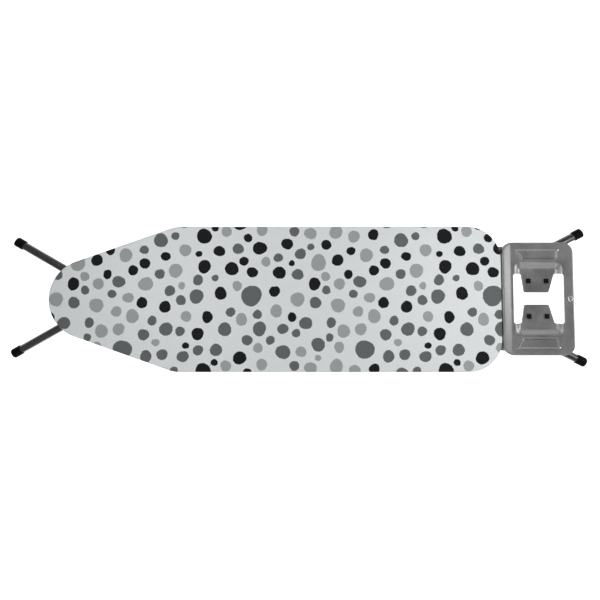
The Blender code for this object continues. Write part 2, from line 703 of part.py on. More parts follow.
def build_lever(frame):
    """Rod, toothed comb, bent wire and grip that turn together."""
    turned("lever_rod", [(0.0, ROD_END), (ROD_RADIUS, ROD_END), (ROD_RADIUS, ROD_START),
                         (0.0, ROD_START)], MATERIALS["zinc"], frame, (0.0, 0.0, 0.0), ALONG_X)
    inner_edge = -(LEVER_Y - 102.0)
    outer_edge = -(ROD_RADIUS + GAP)
    notch_end = inner_edge + 8.4
    notch_half = PIN_RADIUS + GAP
    start = slider_x(math.radians(HEIGHT_ANGLES[0])) - 14.0
    end = slider_x(math.radians(HEIGHT_ANGLES[-1])) + 12.0
    outline = [(start, outer_edge), (start, inner_edge)]
    for angle in HEIGHT_ANGLES:
        x = slider_x(math.radians(angle))
        outline += [(x - notch_half, inner_edge), (x - notch_half, notch_end),
                    (x + notch_half, notch_end), (x + notch_half, inner_edge)]
    outline += [(end, inner_edge), (end, outer_edge)]
    flat_plate("height_comb", [outline], COMB_SHEET, MATERIALS["zinc"], frame,
               (0.0, 0.0, 0.0), (0.0, 0.0, 0.0))
    near = ROD_RADIUS + 0.5
    far = 29.0
    left, right, bend = -297.0, -243.0, 7.0
    path = [(left, near)]
    path += arc((left + bend, far - bend), bend, 180, 90, 3)
    path += arc((right - bend, far - bend), bend, 90, 0, 3)
    path += [(right, near)]
    wire = curve_object("lever_wire", [(x, y, 0.0) for x, y in path], 3.0, 2,
                        MATERIALS["zinc"], frame)
    wire.rotation_euler = (math.radians(-24.5), 0.0, 0.0)
    drop = Matrix.Rotation(math.radians(-24.5), 3, "X") @ Vector((0.0, far, 0.0))
    grip_half = (right - left) / 2 - bend - 1.5
    grip = [(3.0 + GAP, grip_half), (6.0, grip_half), (7.0, grip_half - 1.0),
            (7.0, -grip_half + 1.0), (6.0, -grip_half), (3.0 + GAP, -grip_half)]
    turned("lever_grip", grip, MATERIALS["black_plastic"], frame,
           ((left + right) / 2, drop.y, drop.z), ALONG_X, 16, ring=True)


def build_lever_mount():
    """Two lugs that hold the lever's rod, and its return spring."""
    for x, name in zip(LUG_X, ("front", "rear")):
        top = CHANNEL_BOTTOM - GAP
        edge = [(-10.0, top - PIVOT_Z), (-10.0, -2.0)] + arc((0.0, 0.0), 10.0, 190, 350, 8)
        edge += [(10.0, -2.0), (10.0, top - PIVOT_Z)]
        hole = arc((0.0, 0.0), ROD_RADIUS + GAP, 0, 330, 11)
        flat_plate("lever_lug_" + name, [edge, hole], LUG_SHEET, MATERIALS["frame"], None,
                   (x, LEVER_Y, PIVOT_Z), (math.pi / 2, 0.0, math.pi / 2))
    wire = 0.8
    coil = ROD_RADIUS + 1.5
    turns = 6
    start_x = -206.0
    below = PIVOT_Z - 4.6
    path = [(start_x - 16, LEVER_Y - 9, below), (start_x - 2, LEVER_Y - 9, below)]
    for step in range(turns * 10 + 1):
        angle = math.radians(225) + 2 * math.pi * step / 10
        path.append((start_x + step * 0.22, LEVER_Y + coil * math.cos(angle),
                     PIVOT_Z + coil * math.sin(angle)))
    last = path[-1]
    path.append((last[0] + 1.5, last[1] + 8.0, last[2] - 3.0))
    curve_object("lever_spring", path, wire, 1, MATERIALS["zinc"])


# ---------------------------------------------------------------- whole object

def main():
    """Build every piece in its folded place."""
    build_top()
    build_channels()
    build_slides()
    build_iron_rest()
    axle = (0.0, 0.0, AXLE_Z)
    build_inner_leg(empty("inner_leg", axle, rotation=(0.0, -FOLDED_ANGLE, 0.0)))
    build_outer_leg(empty("outer_leg", axle, rotation=(0.0, FOLDED_ANGLE, 0.0)))
    build_lever(empty("height_lever", (0.0, LEVER_Y, PIVOT_Z),
                      rotation=(LEVER_RELEASED, 0.0, 0.0)))
    build_lever_mount()


clear_scene()
PARTS = new_collection("ironing_board")
CUTTERS = new_collection("cutters")
MATERIALS = {
    "cotton": principled("cotton", (0.82, 0.84, 0.86), 0.9, 0.0),
    "foam": principled("foam", (0.75, 0.72, 0.65), 0.95, 0.0),
    "elastic": principled("elastic", (0.85, 0.85, 0.85), 0.8, 0.0),
    "mesh": principled("mesh", (0.3, 0.3, 0.31), 0.5, 0.8),
    "frame": principled("frame", (0.2, 0.2, 0.21), 0.5, 0.6),
    "tray": principled("tray", (0.2, 0.2, 0.2), 0.45, 0.7),
    "bright": principled("bright", (0.6, 0.6, 0.6), 0.3, 1.0),
    "zinc": principled("zinc", (0.55, 0.55, 0.57), 0.35, 1.0),
    "leg": principled("leg", (0.12, 0.12, 0.12), 0.4, 0.8),
    "nylon": principled("nylon", (0.8, 0.8, 0.78), 0.5, 0.0),
    "rubber": principled("rubber", (0.02, 0.02, 0.02), 0.8, 0.0),
    "black_plastic": principled("black_plastic", (0.015, 0.015, 0.015), 0.5, 0.0),
}
main()
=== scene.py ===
"""Looks of a folding ironing board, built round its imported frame.

The board lies folded on its foot caps. X runs from the nose (-) to the iron rest (+),
Y across the board and Z up, all in metres. Each sub-assembly is a class that holds its
own sizes, builds its pieces with Blender's modelling operators and dresses them in a
finish. Places come from the frame, so every piece lies where its CAD node does.
"""

from __future__ import annotations

import logging
import math
from collections.abc import Callable, Iterator, Sequence
from contextlib import contextmanager
from dataclasses import dataclass, field
from enum import Enum

import bmesh
import bpy
import numpy as np
from mathutils import Matrix, Vector


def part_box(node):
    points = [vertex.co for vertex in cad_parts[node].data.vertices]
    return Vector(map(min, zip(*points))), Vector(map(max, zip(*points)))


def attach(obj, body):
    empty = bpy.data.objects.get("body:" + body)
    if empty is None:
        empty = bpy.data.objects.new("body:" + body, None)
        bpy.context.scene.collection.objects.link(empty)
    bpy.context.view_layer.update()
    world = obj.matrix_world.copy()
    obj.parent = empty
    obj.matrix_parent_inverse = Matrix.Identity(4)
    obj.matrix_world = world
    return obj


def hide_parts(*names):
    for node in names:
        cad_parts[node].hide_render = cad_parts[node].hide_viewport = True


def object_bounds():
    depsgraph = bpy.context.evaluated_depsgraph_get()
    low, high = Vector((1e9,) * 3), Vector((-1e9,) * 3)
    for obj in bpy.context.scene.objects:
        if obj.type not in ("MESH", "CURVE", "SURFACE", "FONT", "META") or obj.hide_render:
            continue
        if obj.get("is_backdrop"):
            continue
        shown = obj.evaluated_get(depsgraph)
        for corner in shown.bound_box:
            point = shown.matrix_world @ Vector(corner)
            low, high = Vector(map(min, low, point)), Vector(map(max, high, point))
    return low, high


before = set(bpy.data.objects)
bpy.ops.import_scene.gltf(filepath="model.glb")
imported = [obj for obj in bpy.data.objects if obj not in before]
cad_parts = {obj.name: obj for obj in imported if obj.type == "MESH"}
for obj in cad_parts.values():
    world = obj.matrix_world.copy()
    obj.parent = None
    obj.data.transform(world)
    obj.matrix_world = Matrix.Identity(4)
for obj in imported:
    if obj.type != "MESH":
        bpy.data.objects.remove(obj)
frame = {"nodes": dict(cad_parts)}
FRAME_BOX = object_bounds()
LOG = logging.getLogger("ironing_board")

Colour = tuple[float, float, float]
Point = tuple[float, float, float]
Pair = tuple[float, float]


class Body(Enum):
    """The rigid bodies that a piece can ride on."""

    BOARD = "board"
    INNER_LEG = "inner_leg"
    OUTER_LEG = "outer_leg"
    LEVER = "height_lever"


class Side(Enum):
    """The two long sides of the board, with the sign of Y."""

    LEFT = 1
    RIGHT = -1

    @property
    def label(self) -> str:
        """The side's name as it stands in a node's name."""
        return self.name.lower()


# ------------------------------------------------------------------ modelling moves


class Bench:
    """Everyday modelling moves, each made with Blender's own operators."""

    @staticmethod
    def clear() -> None:
        """Deselect everything, so that the next operator acts on its own piece."""
        bpy.ops.object.select_all(action="DESELECT")

    @classmethod
    def hold(cls, piece: bpy.types.Object) -> None:
        """Make one piece the only selected and active object.

        Args:
            piece: The object to work on.
        """
        cls.clear()
        piece.select_set(True)
        bpy.context.view_layer.objects.active = piece

    @staticmethod
    def take(name: str) -> bpy.types.Object:
        """Name the object that an operator has just added.

        Args:
            name: The piece's name.

        Returns:
            The new piece.
        """
        piece = bpy.context.active_object
        piece.name = name
        piece.data.name = name
        return piece

    @classmethod
    def from_lines(cls, name: str, points: Sequence[Point], ring: bool) -> bpy.types.Object:
        """Lay out a chain of edges that an operator then spins or sweeps.

        Args:
            name: The piece's name.
            points: The chain's corners.
            ring: Whether the chain is closed.

        Returns:
            The chain as a mesh object.
        """
        mesh = bpy.data.meshes.new(name)
        edges = [(i, i + 1) for i in range(len(points) - 1)]
        if ring:
            edges.append((len(points) - 1, 0))
        mesh.from_pydata(points, edges, [])
        piece = bpy.data.objects.new(name, mesh)
        bpy.context.scene.collection.objects.link(piece)
        cls.hold(piece)
        return piece

    @classmethod
    @contextmanager
    def editing(cls, piece: bpy.types.Object) -> Iterator[None]:
        """Work on a piece in edit mode with everything selected.

        Args:
            piece: The object to edit.

        Yields:
            Nothing; the caller's operators run in edit mode.
        """
        cls.hold(piece)
        bpy.ops.object.mode_set(mode="EDIT")
        bpy.ops.mesh.select_all(action="SELECT")
        try:
            yield
        finally:
            bpy.ops.object.mode_set(mode="OBJECT")

    @staticmethod
    def pick(piece: bpy.types.Object, kind: str, test: Callable[..., bool]) -> int:
        """Select the parts of a mesh that pass a test, in edit mode.

        Args:
            piece: The object in edit mode.
            kind: VERT, EDGE or FACE.
            test: Says whether an element is wanted.

        Returns:
            How many elements are selected.
        """
        bpy.ops.mesh.select_mode(type=kind)
        bpy.ops.mesh.select_all(action="DESELECT")
        shape = bmesh.from_edit_mesh(piece.data)
        elements = {"VERT": shape.verts, "EDGE": shape.edges, "FACE": shape.faces}[kind]
        wanted = [element for element in elements if test(element)]
        for element in wanted:
            element.select_set(True)
        bmesh.update_edit_mesh(piece.data)
        return len(wanted)

    @classmethod
    def modify(cls, piece: bpy.types.Object, kind: str, **settings: object) -> None:
        """Add a modifier and apply it.

        Args:
            piece: The object to change.
            kind: Blender's name of the modifier.
            settings: The modifier's own settings.
        """
        cls.hold(piece)
        modifier = piece.modifiers.new(kind.lower(), kind)
        for key, value in settings.items():
            setattr(modifier, key, value)
        bpy.ops.object.modifier_apply(modifier=modifier.name)

    @classmethod
    def settle(cls, piece: bpy.types.Object, smooth_angle: float = 35.0,
               outward: bool = True) -> bpy.types.Object:
        """Put a piece's place into its mesh, turn its faces outwards and shade it.

        Args:
            piece: The finished object.
            smooth_angle: Edges sharper than this many degrees stay sharp.
            outward: Whether the normals are worked out again.

        Returns:
            The same piece.
        """
        cls.hold(piece)
        bpy.ops.object.transform_apply(location=True, rotation=True, scale=True)
        if outward:
            with cls.editing(piece):
                bpy.ops.mesh.remove_doubles(threshold=0.00001)
                bpy.ops.mesh.select_all(action="SELECT")
                bpy.ops.mesh.normals_make_consistent(inside=False)
        cls.hold(piece)
        bpy.ops.object.shade_smooth_by_angle(angle=math.radians(smooth_angle))
        return piece

    @classmethod
    def lathe(cls, name: str, profile: Sequence[Pair], steps: int, place: Matrix,
              ring: bool = False) -> bpy.types.Object:
        """Spin a profile about Z and set the turned piece in its place.

        Args:
            name: The piece's name.
            profile: Radius and height pairs.
            steps: How many sides the piece has.
            place: Where the piece's own origin and axis go.
            ring: Whether the profile is closed, as on a bush.

        Returns:
            The turned piece.
        """
        piece = cls.from_lines(name, [(r, 0.0, z) for r, z in profile], ring)
        with cls.editing(piece):
            bpy.ops.mesh.spin(steps=steps, angle=2 * math.pi, center=(0, 0, 0), axis=(0, 0, 1))
        with cls.editing(piece):
            bpy.ops.mesh.remove_doubles(threshold=0.00001)
        piece.matrix_world = place
        return cls.settle(piece)

    @classmethod
    def refined_copy(cls, node: str, name: str, bevel: float) -> bpy.types.Object:
        """Copy a CAD node, merge its loose triangles and break its edges.

        Args:
            node: The CAD node that the copy stands for.
            name: The copy's name.
            bevel: Width of the broken edges.

        Returns:
            The copy, which replaces the node.
        """
        source = frame["nodes"][node]
        piece = bpy.data.objects.new(name, source.data.copy())
        bpy.context.scene.collection.objects.link(piece)
        with cls.editing(piece):
            bpy.ops.mesh.remove_doubles(threshold=0.00001)
            bpy.ops.mesh.select_all(action="SELECT")
            bpy.ops.mesh.dissolve_limited(angle_limit=math.radians(0.5))
        cls.modify(piece, "BEVEL", width=bevel, segments=2, limit_method="ANGLE",
                   angle_limit=math.radians(40), miter_outer="MITER_ARC")
        cls.hold(piece)
        bpy.ops.object.shade_smooth_by_angle(angle=math.radians(32))
        return piece

    @classmethod
    def cut(cls, piece: bpy.types.Object, cutter: bpy.types.Object) -> None:
        """Take a cutter's shape out of a piece and throw the cutter away.

        Args:
            piece: The object to cut.
            cutter: A closed mesh object.
        """
        cls.modify(piece, "BOOLEAN", operation="DIFFERENCE", object=cutter, solver="EXACT")
        cls.hold(cutter)
        bpy.ops.object.delete()

    @classmethod
    def rod_cutter(cls, centre: Vector, radius: float, direction: Vector,
                   depth: float = 0.04) -> bpy.types.Object:
        """A round cutter for a drilled hole.

        Args:
            centre: The middle of the hole.
            radius: The hole's radius.
            direction: The way that the drill points.
            depth: Length of the cutter.

        Returns:
            The cutter.
        """
        bpy.ops.mesh.primitive_cylinder_add(vertices=28, radius=radius, depth=depth)
        cutter = cls.take("drill")
        cutter.matrix_world = turned_to(direction, centre)
        return cutter

    @classmethod
    def join(cls, piece: bpy.types.Object, *others: bpy.types.Object) -> bpy.types.Object:
        """Join other objects into a piece.

        Args:
            piece: The object that stays.
            others: The objects that go into it.

        Returns:
            The piece.
        """
        cls.hold(piece)
        for other in others:
            other.select_set(True)
        bpy.ops.object.join()
        return piece

    @classmethod
    def pressed(cls, name: str, size: Pair, cell: float,
                height: Callable[[float, float], float], thick: float,
                bevel: float = 0.0003) -> bpy.types.Object:
        """Press a flat blank of sheet metal, lying below its own origin.

        Args:
            name: The piece's name.
            size: Width along X and length along Y.
            cell: Size of the blank's grid cells, about.
            height: How far each place of the sheet is raised.
            thick: Thickness of the sheet.
            bevel: Width of its broken edges.

        Returns:
            The pressed piece.
        """
        counts = [max(2, round(length / cell)) for length in size]
        bpy.ops.mesh.primitive_grid_add(x_subdivisions=counts[0], y_subdivisions=counts[1],
                                        size=1.0)
        piece = cls.take(name)
        piece.scale = (size[0], size[1], 1.0)
        bpy.ops.object.transform_apply(location=False, rotation=False, scale=True)
        for vertex in piece.data.vertices:
            vertex.co.z = height(vertex.co.x, vertex.co.y)
        cls.modify(piece, "SOLIDIFY", thickness=thick, offset=-1.0)
        cls.modify(piece, "BEVEL", width=bevel, segments=2, limit_method="ANGLE",
                   angle_limit=math.radians(60))
        return piece


def ramp(inside: float, width: float) -> float:
    """Smooth step from 0 to 1 over a width, centred on the edge of a shape."""
    part = min(max(inside / width + 0.5, 0.0), 1.0)
    return part * part * (3 - 2 * part)


def eased(part: float, rounding: float) -> float:
    """Straight slope from 0 to 1 whose two ends are rounded off.

    Args:
        part: How far along the slope the place is.
        rounding: Share of the slope that each rounding takes up.

    Returns:
        The height, from 0 to 1.
    """
    if part > 0.5:
        return 1.0 - eased(1.0 - part, rounding)
    if part <= -rounding:
        return 0.0
    if part < rounding:
        return (part + rounding) ** 2 / (4 * rounding)
    return part


def middle(node: str) -> Vector:
    """Middle of a CAD node's box."""
    low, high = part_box(node)
    return (low + high) / 2


def turned_to(direction: Vector, place: Vector) -> Matrix:
    """Matrix that sets a piece's own Z axis along a direction at a place.

    Args:
        direction: Where the piece's Z axis points.
        place: Where the piece's origin goes.

    Returns:
        The placing matrix.
    """
    turn = direction.to_track_quat("Z", "Y").to_matrix().to_4x4()
    return Matrix.Translation(place) @ turn


# ------------------------------------------------------------------ shader groups


class Sketch:
    """Adds nodes to one node tree and wires them together."""

    def __init__(self, tree: bpy.types.NodeTree) -> None:
        """Start on a tree.

        Args:
            tree: The material's or group's node tree.
        """
        self.tree = tree
        self.column = 0

    def add(self, kind: str, inputs: dict[str, object] | None = None,
            **settings: object) -> bpy.types.Node:
        """Add a node, set it up and feed its inputs.

        Args:
            kind: The node's type.
            inputs: Values or output sockets for its inputs, by name or index.
            settings: The node's own properties.

        Returns:
            The new node.
        """
        node = self.tree.nodes.new(kind)
        self.column += 1
        node.location = (self.column * 180 - 2400, -160 * (self.column % 5))
        for key, value in settings.items():
            setattr(node, key, value)
        for key, value in (inputs or {}).items():
            self.feed(node.inputs[key], value)
        return node

    def feed(self, socket: bpy.types.NodeSocket, value: object) -> None:
        """Link a socket to an output, or set its value.

        Args:
            socket: The input.
            value: An output socket, a number, a colour or a vector.
        """
        if isinstance(value, bpy.types.NodeSocket):
            self.tree.links.new(value, socket)
        elif isinstance(value, tuple) and socket.type == "RGBA":
            socket.default_value = (*value[:3], 1.0)
        else:
            socket.default_value = value

    def math(self, operation: str, first: object, second: object = 0.0,
             clamp: bool = False) -> bpy.types.NodeSocket:
        """Do one sum and give its result."""
        node = self.add("ShaderNodeMath", operation=operation, use_clamp=clamp)
        self.feed(node.inputs[0], first)
        self.feed(node.inputs[1], second)
        return node.outputs[0]

    def remap(self, value: object, low: float, high: float, to_low: float = 0.0,
              to_high: float = 1.0) -> bpy.types.NodeSocket:
        """Stretch a value's range, with its ends held."""
        node = self.add("ShaderNodeMapRange", {"Value": value, "From Min": low,
                        "From Max": high, "To Min": to_low, "To Max": to_high})
        return node.outputs["Result"]

    def blend(self, factor: object, first: object, second: object,
              mode: str = "MIX") -> bpy.types.NodeSocket:
        """Mix two colours and give the result."""
        node = self.add("ShaderNodeMix", data_type="RGBA", blend_type=mode)
        self.feed(node.inputs[0], factor)
        self.feed(node.inputs[6], first)
        self.feed(node.inputs[7], second)
        return node.outputs[2]

    def noise(self, vector: object, scale: float, detail: float = 3.0,
              roughness: float = 0.5) -> bpy.types.NodeSocket:
        """Give a noise value at a place."""
        node = self.add("ShaderNodeTexNoise", {"Vector": vector, "Scale": scale,
                        "Detail": detail, "Roughness": roughness})
        return node.outputs["Fac"]

    def bump(self, height: object, strength: float, distance: float,
             normal: object = None) -> bpy.types.NodeSocket:
        """Turn a height into a normal."""
        node = self.add("ShaderNodeBump", {"Height": height, "Strength": strength,
                        "Distance": distance})
        if normal is not None:
            self.feed(node.inputs["Normal"], normal)
        return node.outputs["Normal"]


class Effect(Enum):
    """The surface effects that several finishes share."""

    EDGE_WEAR = "Edge wear"
    GRAIN = "Grain"
    WEAVE = "Plain weave"
    DUST = "Settled dust"


class Effects:
    """Builds each shared shader node group once."""

    def __init__(self) -> None:
        """Make the four groups."""
        self.groups: dict[Effect, bpy.types.NodeTree] = {
            Effect.EDGE_WEAR: self._edge_wear(),
            Effect.GRAIN: self._grain(),
            Effect.WEAVE: self._weave(),
            Effect.DUST: self._dust(),
        }

    @staticmethod
    def _open(name: str, inputs: dict[str, tuple[str, object]],
              outputs: dict[str, str]) -> tuple[Sketch, bpy.types.Node, bpy.types.Node]:
        """Start a group with named inputs and outputs.

        Args:
            name: The group's name.
            inputs: Socket type and first value of each input.
            outputs: Socket type of each output.

        Returns:
            The sketch, and the group's input and output nodes.
        """
        tree = bpy.data.node_groups.new(name, "ShaderNodeTree")
        for label, (kind, value) in inputs.items():
            socket = tree.interface.new_socket(name=label, in_out="INPUT", socket_type=kind)
            if value is not None:
                socket.default_value = value
        for label, kind in outputs.items():
            tree.interface.new_socket(name=label, in_out="OUTPUT", socket_type=kind)
        sketch = Sketch(tree)
        return sketch, sketch.add("NodeGroupInput"), sketch.add("NodeGroupOutput")

    def _edge_wear(self) -> bpy.types.NodeTree:
        """Mask of the rubbed edges, broken up by noise."""
        sketch, given, result = self._open(
            "Edge wear",
            {"Radius": ("NodeSocketFloat", 0.001), "Amount": ("NodeSocketFloat", 0.5),
             "Breakup": ("NodeSocketFloat", 180.0)},
            {"Mask": "NodeSocketFloat"})
        rounded = sketch.add("ShaderNodeBevel", {"Radius": given.outputs["Radius"]}, samples=4)
        plain = sketch.add("ShaderNodeNewGeometry")
        facing = sketch.add("ShaderNodeVectorMath", operation="DOT_PRODUCT")
        sketch.feed(facing.inputs[0], rounded.outputs["Normal"])
        sketch.feed(facing.inputs[1], plain.outputs["Normal"])
        edge = sketch.remap(facing.outputs["Value"], 1.0, 0.86)
        place = sketch.add("ShaderNodeTexCoord").outputs["Object"]
        spots = sketch.add("ShaderNodeTexNoise", {"Vector": place, "Detail": 4.0,
                           "Scale": given.outputs["Breakup"]}).outputs["Fac"]
        broken = sketch.math("MULTIPLY", edge, sketch.remap(spots, 0.38, 0.62))
        mask = sketch.math("MULTIPLY", broken, given.outputs["Amount"], clamp=True)
        sketch.feed(result.inputs["Mask"], mask)
        return sketch.tree

    def _grain(self) -> bpy.types.NodeTree:
        """Fine grain that is drawn out along one direction, with slower clouds over it."""
        sketch, given, result = self._open(
            "Grain",
            {"Vector": ("NodeSocketVector", None), "Scale": ("NodeSocketFloat", 400.0),
             "Stretch": ("NodeSocketVector", (1.0, 1.0, 1.0)),
             "Cloud Scale": ("NodeSocketFloat", 12.0)},
            {"Grain": "NodeSocketFloat", "Cloud": "NodeSocketFloat"})
        drawn = sketch.add("ShaderNodeVectorMath", operation="MULTIPLY")
        sketch.feed(drawn.inputs[0], given.outputs["Vector"])
        sketch.feed(drawn.inputs[1], given.outputs["Stretch"])
        fine = sketch.add("ShaderNodeTexNoise", {"Vector": drawn.outputs[0], "Detail": 5.0,
                          "Scale": given.outputs["Scale"]})
        cloud = sketch.add("ShaderNodeTexNoise", {"Vector": given.outputs["Vector"],
                           "Detail": 3.0, "Scale": given.outputs["Cloud Scale"]})
        sketch.feed(result.inputs["Grain"], fine.outputs["Fac"])
        sketch.feed(result.inputs["Cloud"], cloud.outputs["Fac"])
        return sketch.tree

    def _weave(self) -> bpy.types.NodeTree:
        """Plain weave: each thread goes over one and under the next."""
        sketch, given, result = self._open(
            "Plain weave",
            {"Vector": ("NodeSocketVector", None), "Threads": ("NodeSocketFloat", 2200.0)},
            {"Height": "NodeSocketFloat", "Slub": "NodeSocketFloat"})
        scaled = sketch.add("ShaderNodeVectorMath", operation="SCALE")
        sketch.feed(scaled.inputs[0], given.outputs["Vector"])
        sketch.feed(scaled.inputs["Scale"], given.outputs["Threads"])
        split = sketch.add("ShaderNodeSeparateXYZ", {"Vector": scaled.outputs[0]})
        across, along = split.outputs["X"], split.outputs["Y"]
        warp = self._thread(sketch, across)
        weft = self._thread(sketch, along)
        steps = sketch.math("ADD", sketch.math("FLOOR", across), sketch.math("FLOOR", along))
        over = sketch.math("PINGPONG", steps, 1.0)
        warp_up = sketch.math("MULTIPLY", warp, over)
        weft_up = sketch.math("MULTIPLY", weft, sketch.math("SUBTRACT", 1.0, over))
        low = sketch.math("MULTIPLY", sketch.math("MINIMUM", warp, weft), 0.5)
        height = sketch.math("MAXIMUM", sketch.math("ADD", warp_up, weft_up), low)
        drawn = sketch.add("ShaderNodeVectorMath", operation="MULTIPLY")
        sketch.feed(drawn.inputs[0], given.outputs["Vector"])
        sketch.feed(drawn.inputs[1], (60.0, 900.0, 1.0))
        slub = sketch.noise(drawn.outputs[0], 1.0, 3.0)
        sketch.feed(result.inputs["Height"], height)
        sketch.feed(result.inputs["Slub"], slub)
        return sketch.tree

    @staticmethod
    def _thread(sketch: Sketch, position: bpy.types.NodeSocket) -> bpy.types.NodeSocket:
        """Round section of the threads that lie side by side along one direction."""
        wave = sketch.math("SINE", sketch.math("MULTIPLY", position, math.pi))
        return sketch.math("ABSOLUTE", wave)

    def _dust(self) -> bpy.types.NodeTree:
        """Mask of the dust that settles on surfaces that face up."""
        sketch, given, result = self._open(
            "Settled dust",
            {"Vector": ("NodeSocketVector", None), "Amount": ("NodeSocketFloat", 0.2)},
            {"Mask": "NodeSocketFloat"})
        normal = sketch.add("ShaderNodeNewGeometry").outputs["Normal"]
        height = sketch.add("ShaderNodeSeparateXYZ", {"Vector": normal}).outputs["Z"]
        up = sketch.remap(height, 0.2, 0.95)
        patches = sketch.remap(sketch.noise(given.outputs["Vector"], 35.0, 5.0), 0.42, 0.75)
        mask = sketch.math("MULTIPLY", sketch.math("MULTIPLY", up, patches),
                           given.outputs["Amount"], clamp=True)
        sketch.feed(result.inputs["Mask"], mask)
        return sketch.tree


# ------------------------------------------------------------------ finishes


class Finish:
    """A surface that can be put on pieces; each subclass wires its own nodes."""

    name: str

    def wire(self, sketch: Sketch, shader: bpy.types.Node, effects: Effects) -> None:
        """Wire the finish's nodes to its shader."""
        raise NotImplementedError

    def material(self, effects: Effects) -> bpy.types.Material:
        """Build the material, or give the one already built.

        Args:
            effects: The shared node groups.

        Returns:
            The material.
        """
        known = bpy.data.materials.get(self.name)
        if known:
            return known
        material = bpy.data.materials.new(self.name)
        material.use_nodes = True
        sketch = Sketch(material.node_tree)
        shader = material.node_tree.nodes["Principled BSDF"]
        self.wire(sketch, shader, effects)
        return material

    @staticmethod
    def grouped(sketch: Sketch, effects: Effects, effect: Effect,
                inputs: dict[str, object]) -> bpy.types.Node:
        """Place a shared effect in a material."""
        node = sketch.add("ShaderNodeGroup", node_tree=effects.groups[effect])
        for key, value in inputs.items():
            sketch.feed(node.inputs[key], value)
        return node


@dataclass(frozen=True)
class PaintFinish(Finish):
    """Sprayed or dipped paint on steel, with clouds, grain and rubbed edges."""

    name: str
    base: Colour
    cloud: Colour
    worn: Colour
    metallic: float = 0.6
    roughness: float = 0.4
    roughness_spread: float = 0.08
    coat: float = 0.0
    grain_scale: float = 500.0
    stretch: Point = (1.0, 1.0, 1.0)
    grain_bump: float = 0.15
    wear_radius: float = 0.0008
    wear: float = 0.5
    dust: float = 0.15

    def wire(self, sketch: Sketch, shader: bpy.types.Node, effects: Effects) -> None:
        """Wire base colour, roughness and grain.

        Args:
            sketch: The material's sketch.
            shader: The Principled shader.
            effects: The shared node groups.
        """
        place = sketch.add("ShaderNodeTexCoord").outputs["Object"]
        grain = self.grouped(sketch, effects, Effect.GRAIN, {
            "Vector": place, "Scale": self.grain_scale, "Stretch": self.stretch})
        wear = self.grouped(sketch, effects, Effect.EDGE_WEAR, {
            "Radius": self.wear_radius, "Amount": self.wear})
        dust = self.grouped(sketch, effects, Effect.DUST, {"Vector": place, "Amount": self.dust})
        clouds = sketch.remap(grain.outputs["Cloud"], 0.35, 0.65)
        colour = sketch.blend(clouds, self.base, self.cloud)
        speckle = sketch.remap(grain.outputs["Grain"], 0.3, 0.7, 0.9, 1.1)
        grey = sketch.add("ShaderNodeCombineColor", {"Red": speckle, "Green": speckle,
                          "Blue": speckle}).outputs["Color"]
        colour = sketch.blend(1.0, colour, grey, "MULTIPLY")
        colour = sketch.blend(wear.outputs["Mask"], colour, self.worn)
        colour = sketch.blend(dust.outputs["Mask"], colour, (0.55, 0.53, 0.5))
        sketch.feed(shader.inputs["Base Color"], colour)
        low, high = self.roughness - self.roughness_spread, self.roughness + self.roughness_spread
        rough = sketch.remap(grain.outputs["Cloud"], 0.3, 0.7, low, high)
        rough = sketch.math("ADD", rough, sketch.math("MULTIPLY", dust.outputs["Mask"], 0.5), True)
        sketch.feed(shader.inputs["Roughness"], rough)
        shader.inputs["Metallic"].default_value = self.metallic
        shader.inputs["Coat Weight"].default_value = self.coat
        shader.inputs["Coat Roughness"].default_value = 0.25
        normal = sketch.bump(grain.outputs["Grain"], self.grain_bump, 0.0002)
        sketch.feed(shader.inputs["Normal"], normal)


@dataclass(frozen=True)
class MouldedFinish(Finish):
    """Moulded plastic or rubber with a fine spark-eroded texture."""

    name: str
    base: Colour
    scuffed: Colour
    roughness: float = 0.5
    specular: float = 0.5
    texture_scale: float = 900.0
    texture_bump: float = 0.25
    wear: float = 0.35
    subsurface: float = 0.0

    def wire(self, sketch: Sketch, shader: bpy.types.Node, effects: Effects) -> None:
        """Wire colour, roughness and texture.

        Args:
            sketch: The material's sketch.
            shader: The Principled shader.
            effects: The shared node groups.
        """
        place = sketch.add("ShaderNodeTexCoord").outputs["Object"]
        grain = self.grouped(sketch, effects, Effect.GRAIN, {
            "Vector": place, "Scale": self.texture_scale, "Cloud Scale": 40.0})
        wear = self.grouped(sketch, effects, Effect.EDGE_WEAR, {
            "Radius": 0.0006, "Amount": self.wear, "Breakup": 400.0})
        scuff = sketch.remap(sketch.noise(place, 160.0, 6.0), 0.6, 0.8, 0.0, 0.25)
        mask = sketch.math("ADD", wear.outputs["Mask"], scuff, True)
        colour = sketch.blend(mask, self.base, self.scuffed)
        sketch.feed(shader.inputs["Base Color"], colour)
        rough = sketch.remap(grain.outputs["Cloud"], 0.3, 0.7, self.roughness - 0.07,
                             self.roughness + 0.1)
        sketch.feed(shader.inputs["Roughness"], rough)
        shader.inputs["Specular IOR Level"].default_value = self.specular
        shader.inputs["Subsurface Weight"].default_value = self.subsurface
        normal = sketch.bump(grain.outputs["Grain"], self.texture_bump, 0.00015)
        sketch.feed(shader.inputs["Normal"], normal)


